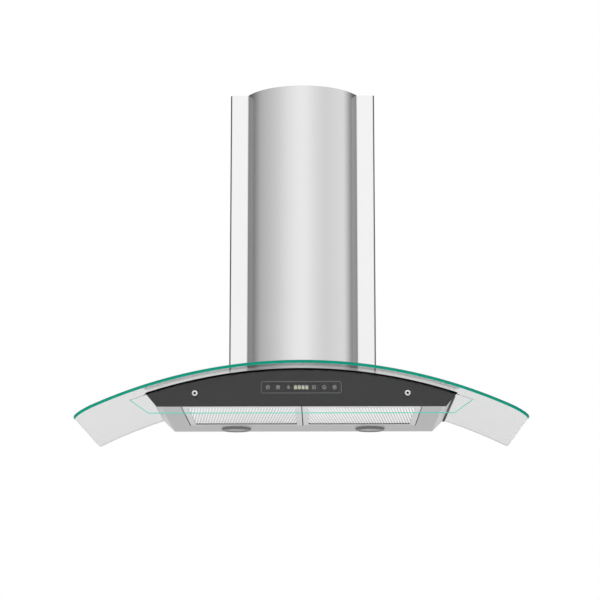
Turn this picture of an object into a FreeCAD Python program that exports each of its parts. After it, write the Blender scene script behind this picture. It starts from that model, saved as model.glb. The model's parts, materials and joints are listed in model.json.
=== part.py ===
# Wall-mounted range hood with an arched glass canopy, 900 mm wide.
#
# Axes: X to the right, Y towards the wall (the wall is the plane Y = 0), Z up.
# Origin: on the wall plane, midway between the two wall fixing holes.
# Heights in the sketches are counted from the flat underside of the hood,
# and each piece's Placement lifts it from there into the object's own frame.

import FreeCAD
import Part
import Sketcher
import os
import re

doc = FreeCAD.newDocument("range_hood")
sizes = doc.addObject("Spreadsheet::Sheet", "Sizes")
nodes = []

DRIVING_SIZES = {
    # the whole
    "underside_level": -35,
    "sheet": 1,
    "gasket": 1.5,
    "gasket_width": 5,
    # arched glass canopy, its radius and rise taken at mid thickness
    "glass_width": 900,
    "glass_depth": 500,
    "glass_thickness": 6,
    "glass_radius": 1000,
    "glass_rise": 75,
    "glass_front_corner": 45,
    "glass_rear_corner": 10,
    "glass_opening_half": 134,
    "glass_opening_rear": 15,
    "glass_opening_front": 175,
    # air way through the two steel sheets that clamp the canopy, and their bolts
    "airway_half": 112,
    "airway_rear": 38,
    "airway_front": 158,
    "clamp_bolt_x": 123,
    "clamp_bolt_rear": 50,
    "clamp_bolt_pitch": 96,
    "clamp_bolt_radius": 3,
    "clamp_bolt_corner": 5.7,
    "clamp_bolt_hole_half": 3.2,
    # clear front panel and the black plate behind it
    "panel_front": 457,
    "panel_thickness": 5,
    "panel_gap": 5,
    "panel_top_half": 343,
    "panel_bottom_half": 303.5,
    "panel_drop": 22,
    "panel_corner": 1.5,
    "fascia_top_half": 310.5,
    "fascia_bottom_half": 287,
    "fascia_drop": 8.3,
    "panel_screw_x": 211,
    "panel_screw_level": 17.8,
    "panel_screw_head": 6.2,
    "panel_screw_shank": 2.5,
    "panel_screw_socket": 2.9,
    "panel_hole": 3.2,
    "screw_slot_half": 2.6,
    "spacer_half": 7.5,
    # touch controls
    "control_level": 30.1,
    "display_width": 31.5,
    "display_height": 9,
    "board_width": 156,
    "board_height": 22,
    "key_first": 25.4,
    "key_pitch": 20.4,
    "key_pad_half": 4,
    # folded steel body
    "body_half": 283.5,
    "body_side_half": 305.5,
    "body_side_rise": 21.5,
    "body_front": 447,
    "filter_bay_half": 243,
    "filter_bay_rear": 100,
    "filter_bay_front": 400,
    "wall_hole_x": 200,
    "wall_hole_radius": 5,
    # grease filters
    "filter_centre": 121.25,
    "filter_width": 240.5,
    "filter_rear": 101,
    "filter_depth": 298,
    "filter_height": 9,
    "filter_side_rail": 11.5,
    "filter_rear_rail": 20,
    "filter_front_rail": 30,
    "mesh_columns": 5,
    "mesh_rows": 5,
    "mesh_opening": 0.8,
    "mesh_thickness": 1.5,
    "mesh_level": 1.5,
    # sliding filter latch
    "latch_half": 36,
    "latch_flange": 3,
    "latch_depth": 16,
    "latch_front": 393,
    "latch_travel": 6,
    "latch_height": 2.8,
    "tongue_half": 8,
    "tongue_reach": 9.5,
    "finger_half": 16,
    "play": 0.3,
    # lamps
    "lamp_x": 145.5,
    "lamp_line": 49,
    "lamp_radius": 32,
    "lamp_lens_radius": 24.5,
    "lamp_can_radius": 27,
    "lamp_drop": 4.5,
    "lamp_can_height": 30,
    # chimney covers: flat wings with a rounded front between them
    "chimney_half": 156,
    "chimney_wing": 190,
    "bulge_half": 117.5,
    "bulge_depth": 75,
    "chimney_top": 712,
    "chimney_flange": 16,
    "chimney_corner": 3,
    "telescope_gap": 1.5,
    "upper_cover_base": 322,
    "upper_cover_top": 710,
    "chimney_bracket_level": 600,
    "chimney_bracket_height": 30,
    "chimney_bracket_hole_x": 100,
    "chimney_bracket_hole_radius": 3.5,
    "cover_screw_line": 60,
    "cover_screw_level": 319.9,
    "cover_screw_radius": 1.75,
    "cover_screw_head": 3.8,
    "cover_screw_hole_half": 1.9,
    "cover_bracket_half": 150,
    "cover_bracket_width": 40,
    "cover_bracket_height": 20,
    # fan box above the canopy
    "box_half": 146,
    "box_rear": 3,
    "box_wing": 184,
    "box_cant_outer": 112,
    "box_cant_inner": 82,
    "box_front": 226,
    "box_top": 310,
    # blower, placed by the axis of its wheel
    "wheel_line": 105,
    "wheel_level": 181,
    "wheel_radius": 72,
    "wheel_half": 62,
    "wheel_disc": 1.5,
    "wheel_rim_width": 6,
    "wheel_rim_height": 4,
    "blade_middle_radius": 64.6,
    "blade_sag": 2.4,
    "blade_half_chord": 6.5,
    "blade_thickness": 1,
    "blade_count": 20,
    "turned_corners": 20,
    "hub_radius": 12,
    "hub_half": 9,
    "shaft_radius": 4,
    "scroll_half": 78,
    "scroll_wall": 1.5,
    "scroll_start": 80,
    "scroll_step": 9,
    "tongue_angle": 55,
    "inlet_hole": 74,
    "inlet_throat": 58.5,
    "inlet_reach": 65,
    "inlet_flange": 78.5,
    "motor_radius": 42,
    "motor_near": 20,
    "motor_far": 92,
    "bearing_fit": 0.05,
    "bracket_arm": 14,
    "capacitor_width": 22,
    "capacitor_height": 34,
    # duct collar with its two back-draught flaps
    "collar_line": 135,
    "collar_radius": 75,
    "collar_flange": 84,
    "collar_height": 46,
    "collar_wall": 1.2,
    "flap_level": 22,
    "flap_radius": 71.5,
    "flap_thickness": 0.8,
    "flap_pin_radius": 1.5,
    "flap_pin_fit": 0.1,
    "knuckle_wall": 1.2,
    "knuckle_length": 26,
    "knuckle_near": 4,
}

ARCH_CENTRE = "(glass_rise - glass_radius)"
GLASS_UNDER = "(glass_radius - glass_thickness / 2)"
GLASS_TOP = "(glass_radius + glass_thickness / 2)"
PANEL_ARCH = f"({GLASS_UNDER} - panel_gap)"
PLATE_TOP = f"({GLASS_UNDER} - gasket)"
BOX_BASE = f"({GLASS_TOP} + gasket)"
BULGE_RADIUS = "((bulge_half^2 + bulge_depth^2) / (2 * bulge_depth))"
SIDES = {"left": -1, "right": 1}


# ---------------------------------------------------------------- sheet and sketches

def fill_sheet():
    """Writes every driving size into its own named cell."""
    for row, (alias, number) in enumerate(DRIVING_SIZES.items(), start=1):
        sizes.set(f"A{row}", alias)
        sizes.set(f"B{row}", str(number))
        sizes.setAlias(f"B{row}", alias)
    doc.recompute()


def bound(expression):
    """Turns bare size names into references to the sheet."""
    def refer(match):
        word = match.group(0)
        return f"Sizes.{word}" if word in DRIVING_SIZES else word
    return re.sub(r"[A-Za-z_]+", refer, str(expression))


def value(expression):
    return float(sizes.evalExpression(bound(expression)))


def arch(radius, x):
    """Height of an arch about the canopy's own axis, at a distance x from the middle."""
    return f"({ARCH_CENTRE} + sqrt(({radius})^2 - ({x})^2))"


def new_body(name):
    body = doc.addObject("PartDesign::Body", name)
    body.Label = name
    body.AllowCompound = True
    nodes.append(body)
    return body


def place(item, x="0", y="0", z="0"):
    """Binds a piece's Placement; z is counted from the hood's underside."""
    item.setExpression("Placement.Base.x", bound(x))
    item.setExpression("Placement.Base.y", bound(y))
    item.setExpression("Placement.Base.z", bound(f"underside_level + {z}"))


def new_sketch(body, name, role, offset="0"):
    """A sketch on one of the body's own origin planes, moved along the plane's normal."""
    sketch = body.newObject("Sketcher::SketchObject", f"{body.Name}_{name}")
    plane = [item for item in body.Origin.OriginFeatures if item.Role == role][0]
    sketch.AttachmentSupport = [(plane, "")]
    sketch.MapMode = "FlatFace"
    sketch.setExpression("AttachmentOffset.Base.z", bound(offset))
    return sketch


def pin_point(sketch, geometry, end, x, y):
    """Holds one point of a sketch at two sizes, or on an axis where a size is nought."""
    for kind, axis, expression in (("DistanceX", -2, x), ("DistanceY", -1, y)):
        distance = value(expression)
        if abs(distance) < 1e-9:
            sketch.addConstraint(Sketcher.Constraint("PointOnObject", geometry, end, axis))
            continue
        index = sketch.addConstraint(Sketcher.Constraint(kind, geometry, end, distance))
        sketch.setExpression(f"Constraints[{index}]", bound(expression))


def draw(sketch, points):
    """Closed outline: (x, y) ends a line and (x, y, centre x, centre y) ends an arc."""
    spots = [FreeCAD.Vector(value(point[0]), value(point[1]), 0) for point in points]
    ends = []
    for number, point in enumerate(points):
        start = spots[number - 1]
        stop = spots[number]
        if len(point) == 4:
            centre = FreeCAD.Vector(value(point[2]), value(point[3]), 0)
            outward = ((start + stop) * 0.5 - centre).normalize()
            middle = centre + outward * (stop - centre).Length
            turns_left = (start - centre).cross(stop - centre).z > 0
            edge = Part.Arc(start, middle, stop) if turns_left else Part.Arc(stop, middle, start)
        else:
            edge = Part.LineSegment(start, stop)
        index = sketch.addGeometry(edge, False)
        forward = sketch.Geometry[index].EndPoint.distanceToPoint(stop) < 1e-6
        ends.append((index, 1 if forward else 2, 2 if forward else 1))
    for number, point in enumerate(points):
        index, first, last = ends[number]
        before, _, before_last = ends[number - 1]
        sketch.addConstraint(Sketcher.Constraint("Coincident", before, before_last, index, first))
        pin_point(sketch, index, last, point[0], point[1])
        if len(point) == 4:
            pin_centre(sketch, index, spots[number - 1], spots[number], point)


def pin_centre(sketch, index, start, stop, point):
    """Fixes an arc's last freedom by the coordinate of its centre that the chord leaves open."""
    across = abs(stop.x - start.x) >= abs(stop.y - start.y)
    kind, axis, expression = ("DistanceY", -1, point[3]) if across else ("DistanceX", -2, point[2])
    distance = value(expression)
    if abs(distance) < 1e-9:
        sketch.addConstraint(Sketcher.Constraint("PointOnObject", index, 3, axis))
        return
    number = sketch.addConstraint(Sketcher.Constraint(kind, index, 3, distance))
    sketch.setExpression(f"Constraints[{number}]", bound(expression))


def draw_circle(sketch, radius, x="0", y="0"):
    centre = FreeCAD.Vector(value(x), value(y), 0)
    normal = FreeCAD.Vector(0, 0, 1)
    index = sketch.addGeometry(Part.Circle(centre, normal, value(radius)), False)
    pin_point(sketch, index, 3, x, y)
    number = sketch.addConstraint(Sketcher.Constraint("Radius", index, value(radius)))
    sketch.setExpression(f"Constraints[{number}]", bound(radius))


def rectangle(left, right, low, high):
    return [(left, low), (right, low), (right, high), (left, high)]


def square(half, x, y):
    return rectangle(f"{x} - {half}", f"{x} + {half}", f"{y} - {half}", f"{y} + {half}")


def polygon(corners, radius, x="0", y="0"):
    """Regular outline; round pieces that nobody sees are drawn with a few flat sides."""
    return [(f"{x} + ({radius}) * cos({360 * corner / corners})",
             f"{y} + ({radius}) * sin({360 * corner / corners})") for corner in range(corners)]


def pad(body, sketch, length):
    """Adds the outline's prism, along the normal of the sketch's plane."""
    feature = body.newObject("PartDesign::Pad", f"{sketch.Name}_pad")
    feature.Profile = sketch
    feature.setExpression("Length", bound(length))
    sketch.Visibility = False
    doc.recompute()
    return feature


def pocket(body, sketch, length):
    """Takes the outline's prism away, along the normal of the sketch's plane."""
    before = body.Shape.Volume
    feature = body.newObject("PartDesign::Pocket", f"{sketch.Name}_cut")
    feature.Profile = sketch
    feature.setExpression("Length", bound(length))
    feature.Reversed = True
    doc.recompute()
    if body.Shape.Volume > before - 1e-3:
        raise RuntimeError(f"{feature.Name} cuts nothing")
    return feature


def round_edges(body, radius, wanted):
    """Rounds the edges of the body's last feature whose middle point passes a test."""
    base = body.Tip
    names = []
    for number, edge in enumerate(base.Shape.Edges, start=1):
        if wanted(edge, edge.BoundBox.Center):
            names.append(f"Edge{number}")
    feature = body.newObject("PartDesign::Fillet", f"{body.Name}_rounding_{len(body.Group)}")
    feature.Base = (base, names)
    feature.setExpression("Radius", bound(radius))
    doc.recompute()
    return feature


def band(inner, outer, half_width):
    """Section of an arched sheet about the canopy's axis, cut off plumb at both sides."""
    return [
        (f"-{half_width}", arch(inner, half_width)),
        (half_width, arch(inner, half_width), "0", ARCH_CENTRE),
        (half_width, arch(outer, half_width)),
        (f"-{half_width}", arch(outer, half_width), "0", ARCH_CENTRE),
    ]


def cut_below_arch(body, radius, half_width, depth):
    """Trims a piece that stands on the canopy to the canopy's own curve."""
    sketch = new_sketch(body, "arch_trim", "XZ_Plane", "-1")
    draw(sketch, [
        (f"-{half_width}", "-50"),
        (half_width, "-50"),
        (half_width, arch(radius, half_width)),
        (f"-{half_width}", arch(radius, half_width), "0", ARCH_CENTRE),
    ])
    pocket(body, sketch, depth)


def cut_airway(body, half, rear, front):
    """Cuts a rectangular opening plumb through an arched sheet, behind its middle."""
    sketch = new_sketch(body, "airway", "XY_Plane")
    draw(sketch, rectangle(f"-{half}", half, f"-{front}", f"-{rear}"))
    pocket(body, sketch, "glass_rise + 20")


# ---------------------------------------------------------------- glass and front

def canopy_glass():
    """One bent sheet of toughened glass with rounded corners and the air way cut out."""
    body = new_body("canopy_glass")
    place(body)
    spread = "(glass_width / 2 / glass_radius)"
    rise = f"sqrt(1 - {spread}^2)"
    section = new_sketch(body, "section", "XZ_Plane")
    draw(section, [
        (f"-{GLASS_UNDER} * {spread}", f"{ARCH_CENTRE} + {GLASS_UNDER} * {rise}"),
        (f"{GLASS_UNDER} * {spread}", f"{ARCH_CENTRE} + {GLASS_UNDER} * {rise}", "0", ARCH_CENTRE),
        (f"{GLASS_TOP} * {spread}", f"{ARCH_CENTRE} + {GLASS_TOP} * {rise}"),
        (f"-{GLASS_TOP} * {spread}", f"{ARCH_CENTRE} + {GLASS_TOP} * {rise}", "0", ARCH_CENTRE),
    ])
    pad(body, section, "glass_depth")
    end = value("glass_width / 2") - 5
    depth = value("glass_depth")
    round_edges(body, "glass_front_corner",
                lambda edge, middle: abs(middle.x) > end and abs(middle.y + depth) < 0.01
                and edge.Length < 10)
    round_edges(body, "glass_rear_corner",
                lambda edge, middle: abs(middle.x) > end and abs(middle.y) < 0.01
                and edge.Length < 10)
    cut_airway(body, "glass_opening_half", "glass_opening_rear", "glass_opening_front")


def front_glass_panel():
    """Flat clear glass hung in front of the body, cut parallel to the arch above it."""
    body = new_body("front_glass_panel")
    place(body)
    face = new_sketch(body, "face", "XZ_Plane", "panel_front - panel_thickness")
    draw(face, [
        ("-panel_bottom_half", "-panel_drop"),
        ("panel_bottom_half", "-panel_drop"),
        ("panel_top_half", arch(PANEL_ARCH, "panel_top_half")),
        ("-panel_top_half", arch(PANEL_ARCH, "panel_top_half"), "0", ARCH_CENTRE),
    ])
    for side in SIDES.values():
        draw_circle(face, "panel_hole", f"{side} * panel_screw_x", "panel_screw_level")
    pad(body, face, "panel_thickness")
    thickness = value("panel_thickness")
    round_edges(body, "panel_corner",
                lambda edge, middle: abs(middle.x) > 290 and abs(edge.Length - thickness) < 0.01)


def black_fascia():
    """Black enamelled plate behind the clear panel, with a window for the display."""
    body = new_body("black_fascia")
    place(body)
    face = new_sketch(body, "face", "XZ_Plane", "panel_front - panel_thickness - sheet")
    draw(face, [
        ("-fascia_bottom_half", "-fascia_drop"),
        ("fascia_bottom_half", "-fascia_drop"),
        ("fascia_top_half", arch(PANEL_ARCH, "fascia_top_half")),
        ("-fascia_top_half", arch(PANEL_ARCH, "fascia_top_half"), "0", ARCH_CENTRE),
    ])
    draw(face, rectangle("-display_width / 2", "display_width / 2",
                         "control_level - display_height / 2", "control_level + display_height / 2"))
    for side in SIDES.values():
        draw(face, square("panel_hole", f"{side} * panel_screw_x", "panel_screw_level"))
    pad(body, face, "sheet")


def front_panel_screws():
    """Two chromed screws with a flat head and a hexagon socket, through the clear panel."""
    body = new_body("front_panel_screws")
    place(body)
    shanks = new_sketch(body, "shanks", "XZ_Plane", "body_front - 9")
    heads = new_sketch(body, "heads", "XZ_Plane", "panel_front")
    sockets = new_sketch(body, "sockets", "XZ_Plane", "panel_front + 1.5")
    for side in SIDES.values():
        x = f"{side} * panel_screw_x"
        draw(shanks, polygon(12, "panel_screw_shank", x, "panel_screw_level"))
        draw_circle(heads, "panel_screw_head", x, "panel_screw_level")
        draw(sockets, polygon(6, "panel_screw_socket", x, "panel_screw_level"))
    pad(body, shanks, "panel_front - body_front + 9")
    pad(body, heads, "3")
    pocket(body, sockets, "2")


def panel_spacers():
    """Two square rubber spacers between the body and the black plate, one round each screw."""
    body = new_body("panel_spacers")
    place(body)
    face = new_sketch(body, "pads", "XZ_Plane", "body_front")
    for side in SIDES.values():
        x = f"{side} * panel_screw_x"
        draw(face, square("spacer_half", x, "panel_screw_level"))
        draw(face, square("screw_slot_half", x, "panel_screw_level"))
    pad(body, face, "panel_front - panel_thickness - sheet - body_front")


# ---------------------------------------------------------------- touch controls

def touch_board():
    """Circuit board just behind the black plate."""
    body = new_body("touch_board")
    place(body)
    face = new_sketch(body, "face", "XZ_Plane", "body_front - 4.6")
    draw(face, rectangle("-board_width / 2", "board_width / 2",
                         "control_level - board_height / 2", "control_level + board_height / 2"))
    pad(body, face, "1.6")


def key_pads():
    """Six blocks of conductive foam that carry the touch of a finger to the board."""
    body = new_body("key_pads")
    place(body)
    face = new_sketch(body, "blocks", "XZ_Plane", "body_front - 3")
    for side in SIDES.values():
        for key in range(3):
            x = f"{side} * (key_first + {key} * key_pitch)"
            draw(face, square("key_pad_half", x, "control_level"))
    pad(body, face, "panel_front - panel_thickness - sheet - body_front + 3")


def display_module():
    """Four-digit display in its own case, soldered to the board."""
    body = new_body("display_module")
    place(body)
    case = new_sketch(body, "case", "XZ_Plane", "body_front - 3")
    draw(case, rectangle("-display_width / 2 - 1", "display_width / 2 + 1",
                         "control_level - display_height / 2 - 1", "control_level + display_height / 2 + 1"))
    pad(body, case, "panel_front - panel_thickness - sheet - body_front + 3")
    for digit in range(4):
        well = new_sketch(body, f"digit_{digit}", "XZ_Plane",
                          "panel_front - panel_thickness - sheet - 0.6")
        left = f"-display_width / 2 + {digit} * display_width / 4 + 1"
        draw(well, rectangle(left, f"{left} + display_width / 4 - 2",
                             "control_level - display_height / 2 + 1",
                             "control_level + display_height / 2 - 1"))
        pocket(body, well, "1")


def control_housing():
    """Moulded box that holds the board inside the front of the body, open to the front."""
    body = new_body("control_housing")
    place(body)
    case = new_sketch(body, "case", "XZ_Plane", "body_front - 24")
    draw(case, rectangle("-board_width / 2 - 2", "board_width / 2 + 2",
                         "control_level - board_height / 2 - 2", "control_level + board_height / 2 + 2"))
    pad(body, case, "24 - sheet")
    room = new_sketch(body, "room", "XZ_Plane", "body_front - 22")
    draw(room, rectangle("-board_width / 2", "board_width / 2",
                         "control_level - board_height / 2", "control_level + board_height / 2"))
    pocket(body, room, "22")


def lamp_driver():
    """Small sealed power supply for the lamps, on the front wall inside the body."""
    body = new_body("lamp_driver")
    place(body, "125")
    case = new_sketch(body, "case", "XZ_Plane", "body_front - 29")
    draw(case, rectangle("-35", "35", "2 * sheet", "2 * sheet + 22"))
    pad(body, case, "28")


# ---------------------------------------------------------------- folded steel body

def underside_panel():
    """Brushed steel sheet: the flat underside and both slanted side walls in one folding."""
    body = new_body("underside_panel")
    place(body)
    section = new_sketch(body, "section", "XZ_Plane", "sheet")
    slope = "((body_side_half - body_half) / body_side_rise)"
    wall = f"(sheet * sqrt(1 + {slope}^2))"
    foot = f"(body_half - {wall} + {slope} * sheet)"
    draw(section, [
        ("-body_half", "0"),
        ("body_half", "0"),
        ("body_side_half", "body_side_rise"),
        (f"body_side_half - {wall}", "body_side_rise"),
        (foot, "sheet"),
        (f"-{foot}", "sheet"),
        (f"-(body_side_half - {wall})", "body_side_rise"),
        ("-body_side_half", "body_side_rise"),
    ])
    pad(body, section, "body_front - 2 * sheet")
    openings = new_sketch(body, "openings", "XY_Plane", "-1")
    draw(openings, rectangle("-filter_bay_half", "filter_bay_half",
                             "-filter_bay_front", "-filter_bay_rear"))
    for side in SIDES.values():
        draw(openings, polygon(12, "lamp_can_radius", f"{side} * lamp_x", "-lamp_line"))
    pocket(body, openings, "3")


def body_front_wall():
    """Front wall of the body with the window for the controls and a folded foot."""
    body = new_body("body_front_wall")
    place(body)
    face = new_sketch(body, "face", "XZ_Plane", "body_front - sheet")
    draw(face, [
        ("-body_half", "0"),
        ("body_half", "0"),
        ("body_side_half", "body_side_rise"),
        ("-body_side_half", "body_side_rise", "0", ARCH_CENTRE),
    ])
    draw(face, rectangle("-board_width / 2 - 1", "board_width / 2 + 1",
                         "control_level - board_height / 2 - 1", "control_level + board_height / 2 + 1"))
    for side in SIDES.values():
        draw(face, square("screw_slot_half", f"{side} * panel_screw_x", "panel_screw_level"))
    pad(body, face, "sheet")
    foot = new_sketch(body, "foot", "XZ_Plane", "body_front - 20")
    draw(foot, rectangle("-body_half + 8", "body_half - 8", "sheet", "2 * sheet"))
    pad(body, foot, "20")


def body_back_plate():
    """Galvanised back wall with the two holes that hang the hood on the wall."""
    body = new_body("body_back_plate")
    place(body)
    face = new_sketch(body, "face", "XZ_Plane")
    draw(face, [
        ("-body_half", "0"),
        ("body_half", "0"),
        ("body_side_half", "body_side_rise"),
        ("-body_side_half", "body_side_rise", "0", ARCH_CENTRE),
    ])
    for side in SIDES.values():
        draw_circle(face, "wall_hole_radius", f"{side} * wall_hole_x", "-underside_level")
        draw_circle(face, "wall_hole_radius / 2", f"{side} * (wall_hole_x + 40)", "15")
    pad(body, face, "sheet")
    foot = new_sketch(body, "foot", "XZ_Plane", "0")
    draw(foot, rectangle("-body_half + 8", "body_half - 8", "sheet", "2 * sheet"))
    pad(body, foot, "16")


def body_top_plate():
    """Arched steel plate that closes the body under the glass and carries the fan box."""
    body = new_body("body_top_plate")
    place(body)
    section = new_sketch(body, "section", "XZ_Plane", "sheet")
    draw(section, band(f"({PLATE_TOP} - sheet)", PLATE_TOP, "body_side_half"))
    pad(body, section, "body_front - 2 * sheet")
    cut_airway(body, "airway_half", "airway_rear", "airway_front")
    punch_bolt_holes(body)


def glass_seal(name, side):
    """Black rubber strip between a side wall's top edge and the underside of the glass."""
    body = new_body(f"{name}_glass_seal")
    place(body)
    section = new_sketch(body, "section", "XZ_Plane", "2")
    inner = f"{side} * (body_side_half - 10)"
    outer = f"{side} * (body_side_half + 1)"
    draw(section, [
        (inner, arch(PLATE_TOP, inner)),
        (outer, arch(PLATE_TOP, outer), "0", ARCH_CENTRE),
        (outer, arch(GLASS_UNDER, outer)),
        (inner, arch(GLASS_UNDER, inner), "0", ARCH_CENTRE),
    ])
    pad(body, section, "body_front - 2")


def arched_gasket(name, inner, outer):
    """Sponge rubber frame between the glass and a steel sheet, bent to the canopy."""
    body = new_body(name)
    place(body)
    section = new_sketch(body, "section", "XZ_Plane", "box_rear")
    draw(section, band(inner, outer, "box_half"))
    pad(body, section, "box_wing - box_rear")
    cut_airway(body, "(box_half - gasket_width)", "glass_opening_rear", "glass_opening_front")


def punch_bolt_holes(body):
    """Square holes for the four clamp bolts."""
    holes = new_sketch(body, "bolt_holes", "XY_Plane")
    for side in SIDES.values():
        for row in range(2):
            draw(holes, square("clamp_bolt_hole_half", f"{side} * clamp_bolt_x",
                               f"-clamp_bolt_rear - {row} * clamp_bolt_pitch"))
    pocket(body, holes, "glass_rise + 20")


def clamp_bolts():
    """Four bolts, welded by their heads under the body's top plate, with hexagon nuts.

    They pass through the glass's opening, so that the glass needs no holes of its own.
    """
    body = new_body("clamp_bolts")
    place(body)
    low = arch(f"({PLATE_TOP} - sheet)", "(clamp_bolt_x + clamp_bolt_corner)")
    seat = arch(f"({BOX_BASE} + sheet)", "(clamp_bolt_x - clamp_bolt_corner)")
    shanks = new_sketch(body, "shanks", "XY_Plane", f"{low} - 2")
    heads = new_sketch(body, "heads", "XY_Plane", f"{low} - 4")
    nuts = new_sketch(body, "nuts", "XY_Plane", seat)
    for side in SIDES.values():
        for row in range(2):
            x = f"{side} * clamp_bolt_x"
            y = f"-clamp_bolt_rear - {row} * clamp_bolt_pitch"
            draw(shanks, polygon(12, "clamp_bolt_radius", x, y))
            draw(heads, polygon(6, "clamp_bolt_corner", x, y))
            draw(nuts, polygon(6, "clamp_bolt_corner", x, y))
    pad(body, shanks, f"{seat} + 4 - {low}")
    pad(body, heads, "4")
    pad(body, nuts, "5")


# ---------------------------------------------------------------- grease filters

def filter_frame(name, side):
    """Aluminium frame with a mesh window, two hinge tabs and a pocket for its latch."""
    body = new_body(f"{name}_filter_frame")
    place(body, f"{side} * filter_centre")
    rim = new_sketch(body, "rim", "XY_Plane")
    draw(rim, rectangle("-filter_width / 2", "filter_width / 2",
                        "-filter_rear - filter_depth", "-filter_rear"))
    draw(rim, rectangle("-filter_width / 2 + filter_side_rail", "filter_width / 2 - filter_side_rail",
                        "-filter_rear - filter_depth + filter_front_rail",
                        "-filter_rear - filter_rear_rail"))
    pad(body, rim, "filter_height")
    window = new_sketch(body, "latch_window", "XY_Plane")
    draw(window, rectangle("-latch_half - play", "latch_half + play", "-latch_front - play",
                           "-latch_front + latch_depth + latch_travel + play"))
    pocket(body, window, "1.2")
    channel = new_sketch(body, "latch_channel", "XY_Plane", "1.2")
    draw(channel, rectangle("-latch_half - latch_flange - play", "latch_half + latch_flange + play",
                            "-latch_front - play", "-latch_front + latch_depth + latch_travel + play"))
    pocket(body, channel, "latch_height + play - 1.2")
    slot = new_sketch(body, "tongue_slot", "XY_Plane", "1.1")
    draw(slot, rectangle("-tongue_half - play", "tongue_half + play",
                         "-latch_front - tongue_reach", "-latch_front"))
    pocket(body, slot, "latch_height + play - 1.1")
    tabs = new_sketch(body, "hinge_tabs", "XY_Plane", "sheet + 0.4")
    for place_x in (-70, 70):
        draw(tabs, rectangle(f"{place_x} - 12", f"{place_x} + 12",
                             "-filter_rear - 2", "-filter_rear + 7"))
    pad(body, tabs, "1.2")


def filter_mesh(name, side):
    """Pressed aluminium mesh in the frame's window: a thin sheet with diamond openings.

    One face with all its openings is extruded at once, as a press would cut it.
    """
    width = value("filter_width - 2 * filter_side_rail")
    depth = value("filter_depth - filter_front_rail - filter_rear_rail")
    rear = value("-filter_rear - filter_rear_rail")
    thickness = value("mesh_thickness")
    columns = int(value("mesh_columns"))
    rows = int(value("mesh_rows"))
    pitch_x = width / columns
    pitch_y = depth / rows
    half_x = value("mesh_opening") * pitch_x / 2
    half_y = value("mesh_opening") * pitch_y / 2

    def wire(corners):
        return Part.makePolygon([FreeCAD.Vector(x, y, 0) for x, y in corners + corners[:1]])

    wires = [wire([(-width / 2, rear - depth), (width / 2, rear - depth),
                   (width / 2, rear), (-width / 2, rear)])]
    for column in range(columns):
        for row in range(rows):
            x = -width / 2 + (column + 0.5) * pitch_x
            y = rear - (row + 0.5) * pitch_y
            wires.append(wire([(x - half_x, y), (x, y - half_y), (x + half_x, y), (x, y + half_y)]))
    mesh = doc.addObject("Part::Feature", f"{name}_filter_mesh")
    mesh.Label = f"{name}_filter_mesh"
    mesh.Shape = Part.Face(wires, "Part::FaceMakerBullseye").extrude(FreeCAD.Vector(0, 0, thickness))
    nodes.append(mesh)
    place(mesh, f"{side} * filter_centre", "0", "mesh_level")


def filter_latch(name, side):
    """Sliding latch plate with a finger hollow and the tongue that holds the filter up."""
    body = new_body(f"{name}_filter_latch")
    place(body, f"{side} * filter_centre")
    rear = "(-latch_front + latch_depth)"
    face = new_sketch(body, "face", "XY_Plane")
    draw(face, rectangle("-latch_half", "latch_half", "-latch_front", rear))
    pad(body, face, "latch_height")
    flange = new_sketch(body, "flange", "XY_Plane", "1.5")
    draw(flange, rectangle("-latch_half - latch_flange", "latch_half + latch_flange",
                           "-latch_front", rear))
    pad(body, flange, "latch_height - 1.5")
    tongue = new_sketch(body, "tongue", "XY_Plane", "1.4")
    draw(tongue, rectangle("-tongue_half", "tongue_half", "-latch_front - tongue_reach", "-latch_front"))
    pad(body, tongue, "latch_height - 1.4")
    hollow = new_sketch(body, "finger_hollow", "XY_Plane")
    draw(hollow, rectangle("-finger_half", "finger_half", "-latch_front + 3", f"{rear} - 3"))
    pocket(body, hollow, "2")


# ---------------------------------------------------------------- lamps

def lamp_bezels():
    """Turned steel rings that stand a little below the underside, round the lenses."""
    body = new_body("lamp_bezels")
    place(body)
    rings = new_sketch(body, "rings", "XY_Plane", "-lamp_drop")
    for side in SIDES.values():
        for radius in ("lamp_radius", "lamp_lens_radius"):
            draw_circle(rings, radius, f"{side} * lamp_x", "-lamp_line")
    pad(body, rings, "lamp_drop")


def lamp_lenses():
    """Frosted discs that cover the lamps, set a little way into the bezels."""
    body = new_body("lamp_lenses")
    place(body)
    discs = new_sketch(body, "discs", "XY_Plane", "-lamp_drop + 1")
    for side in SIDES.values():
        draw_circle(discs, "lamp_lens_radius", f"{side} * lamp_x", "-lamp_line")
    pad(body, discs, "3")


def lamp_housings():
    """Die-cast twelve-sided cups let through the underside and pressed on the bezels."""
    body = new_body("lamp_housings")
    place(body)
    cans = new_sketch(body, "cans", "XY_Plane")
    rooms = new_sketch(body, "rooms", "XY_Plane", "-1")
    for side in SIDES.values():
        x = f"{side} * lamp_x"
        draw(cans, polygon(12, "lamp_can_radius - 0.2", x, "-lamp_line"))
        draw(rooms, polygon(12, "lamp_lens_radius", x, "-lamp_line"))
    pad(body, cans, "lamp_can_height")
    pocket(body, rooms, "8")


def lamp_leds():
    """Square boards with the light sources, on the cups' floors above the lenses."""
    body = new_body("lamp_leds")
    place(body, "0", "0", "7")
    boards = new_sketch(body, "boards", "XY_Plane", "-1.6")
    sources = new_sketch(body, "sources", "XY_Plane", "-2.6")
    for side in SIDES.values():
        x = f"{side} * lamp_x"
        draw(boards, square("14", x, "-lamp_line"))
        draw(sources, square("7", x, "-lamp_line"))
    pad(body, boards, "1.6")
    pad(body, sources, "1")


# ---------------------------------------------------------------- fan box and blower

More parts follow.
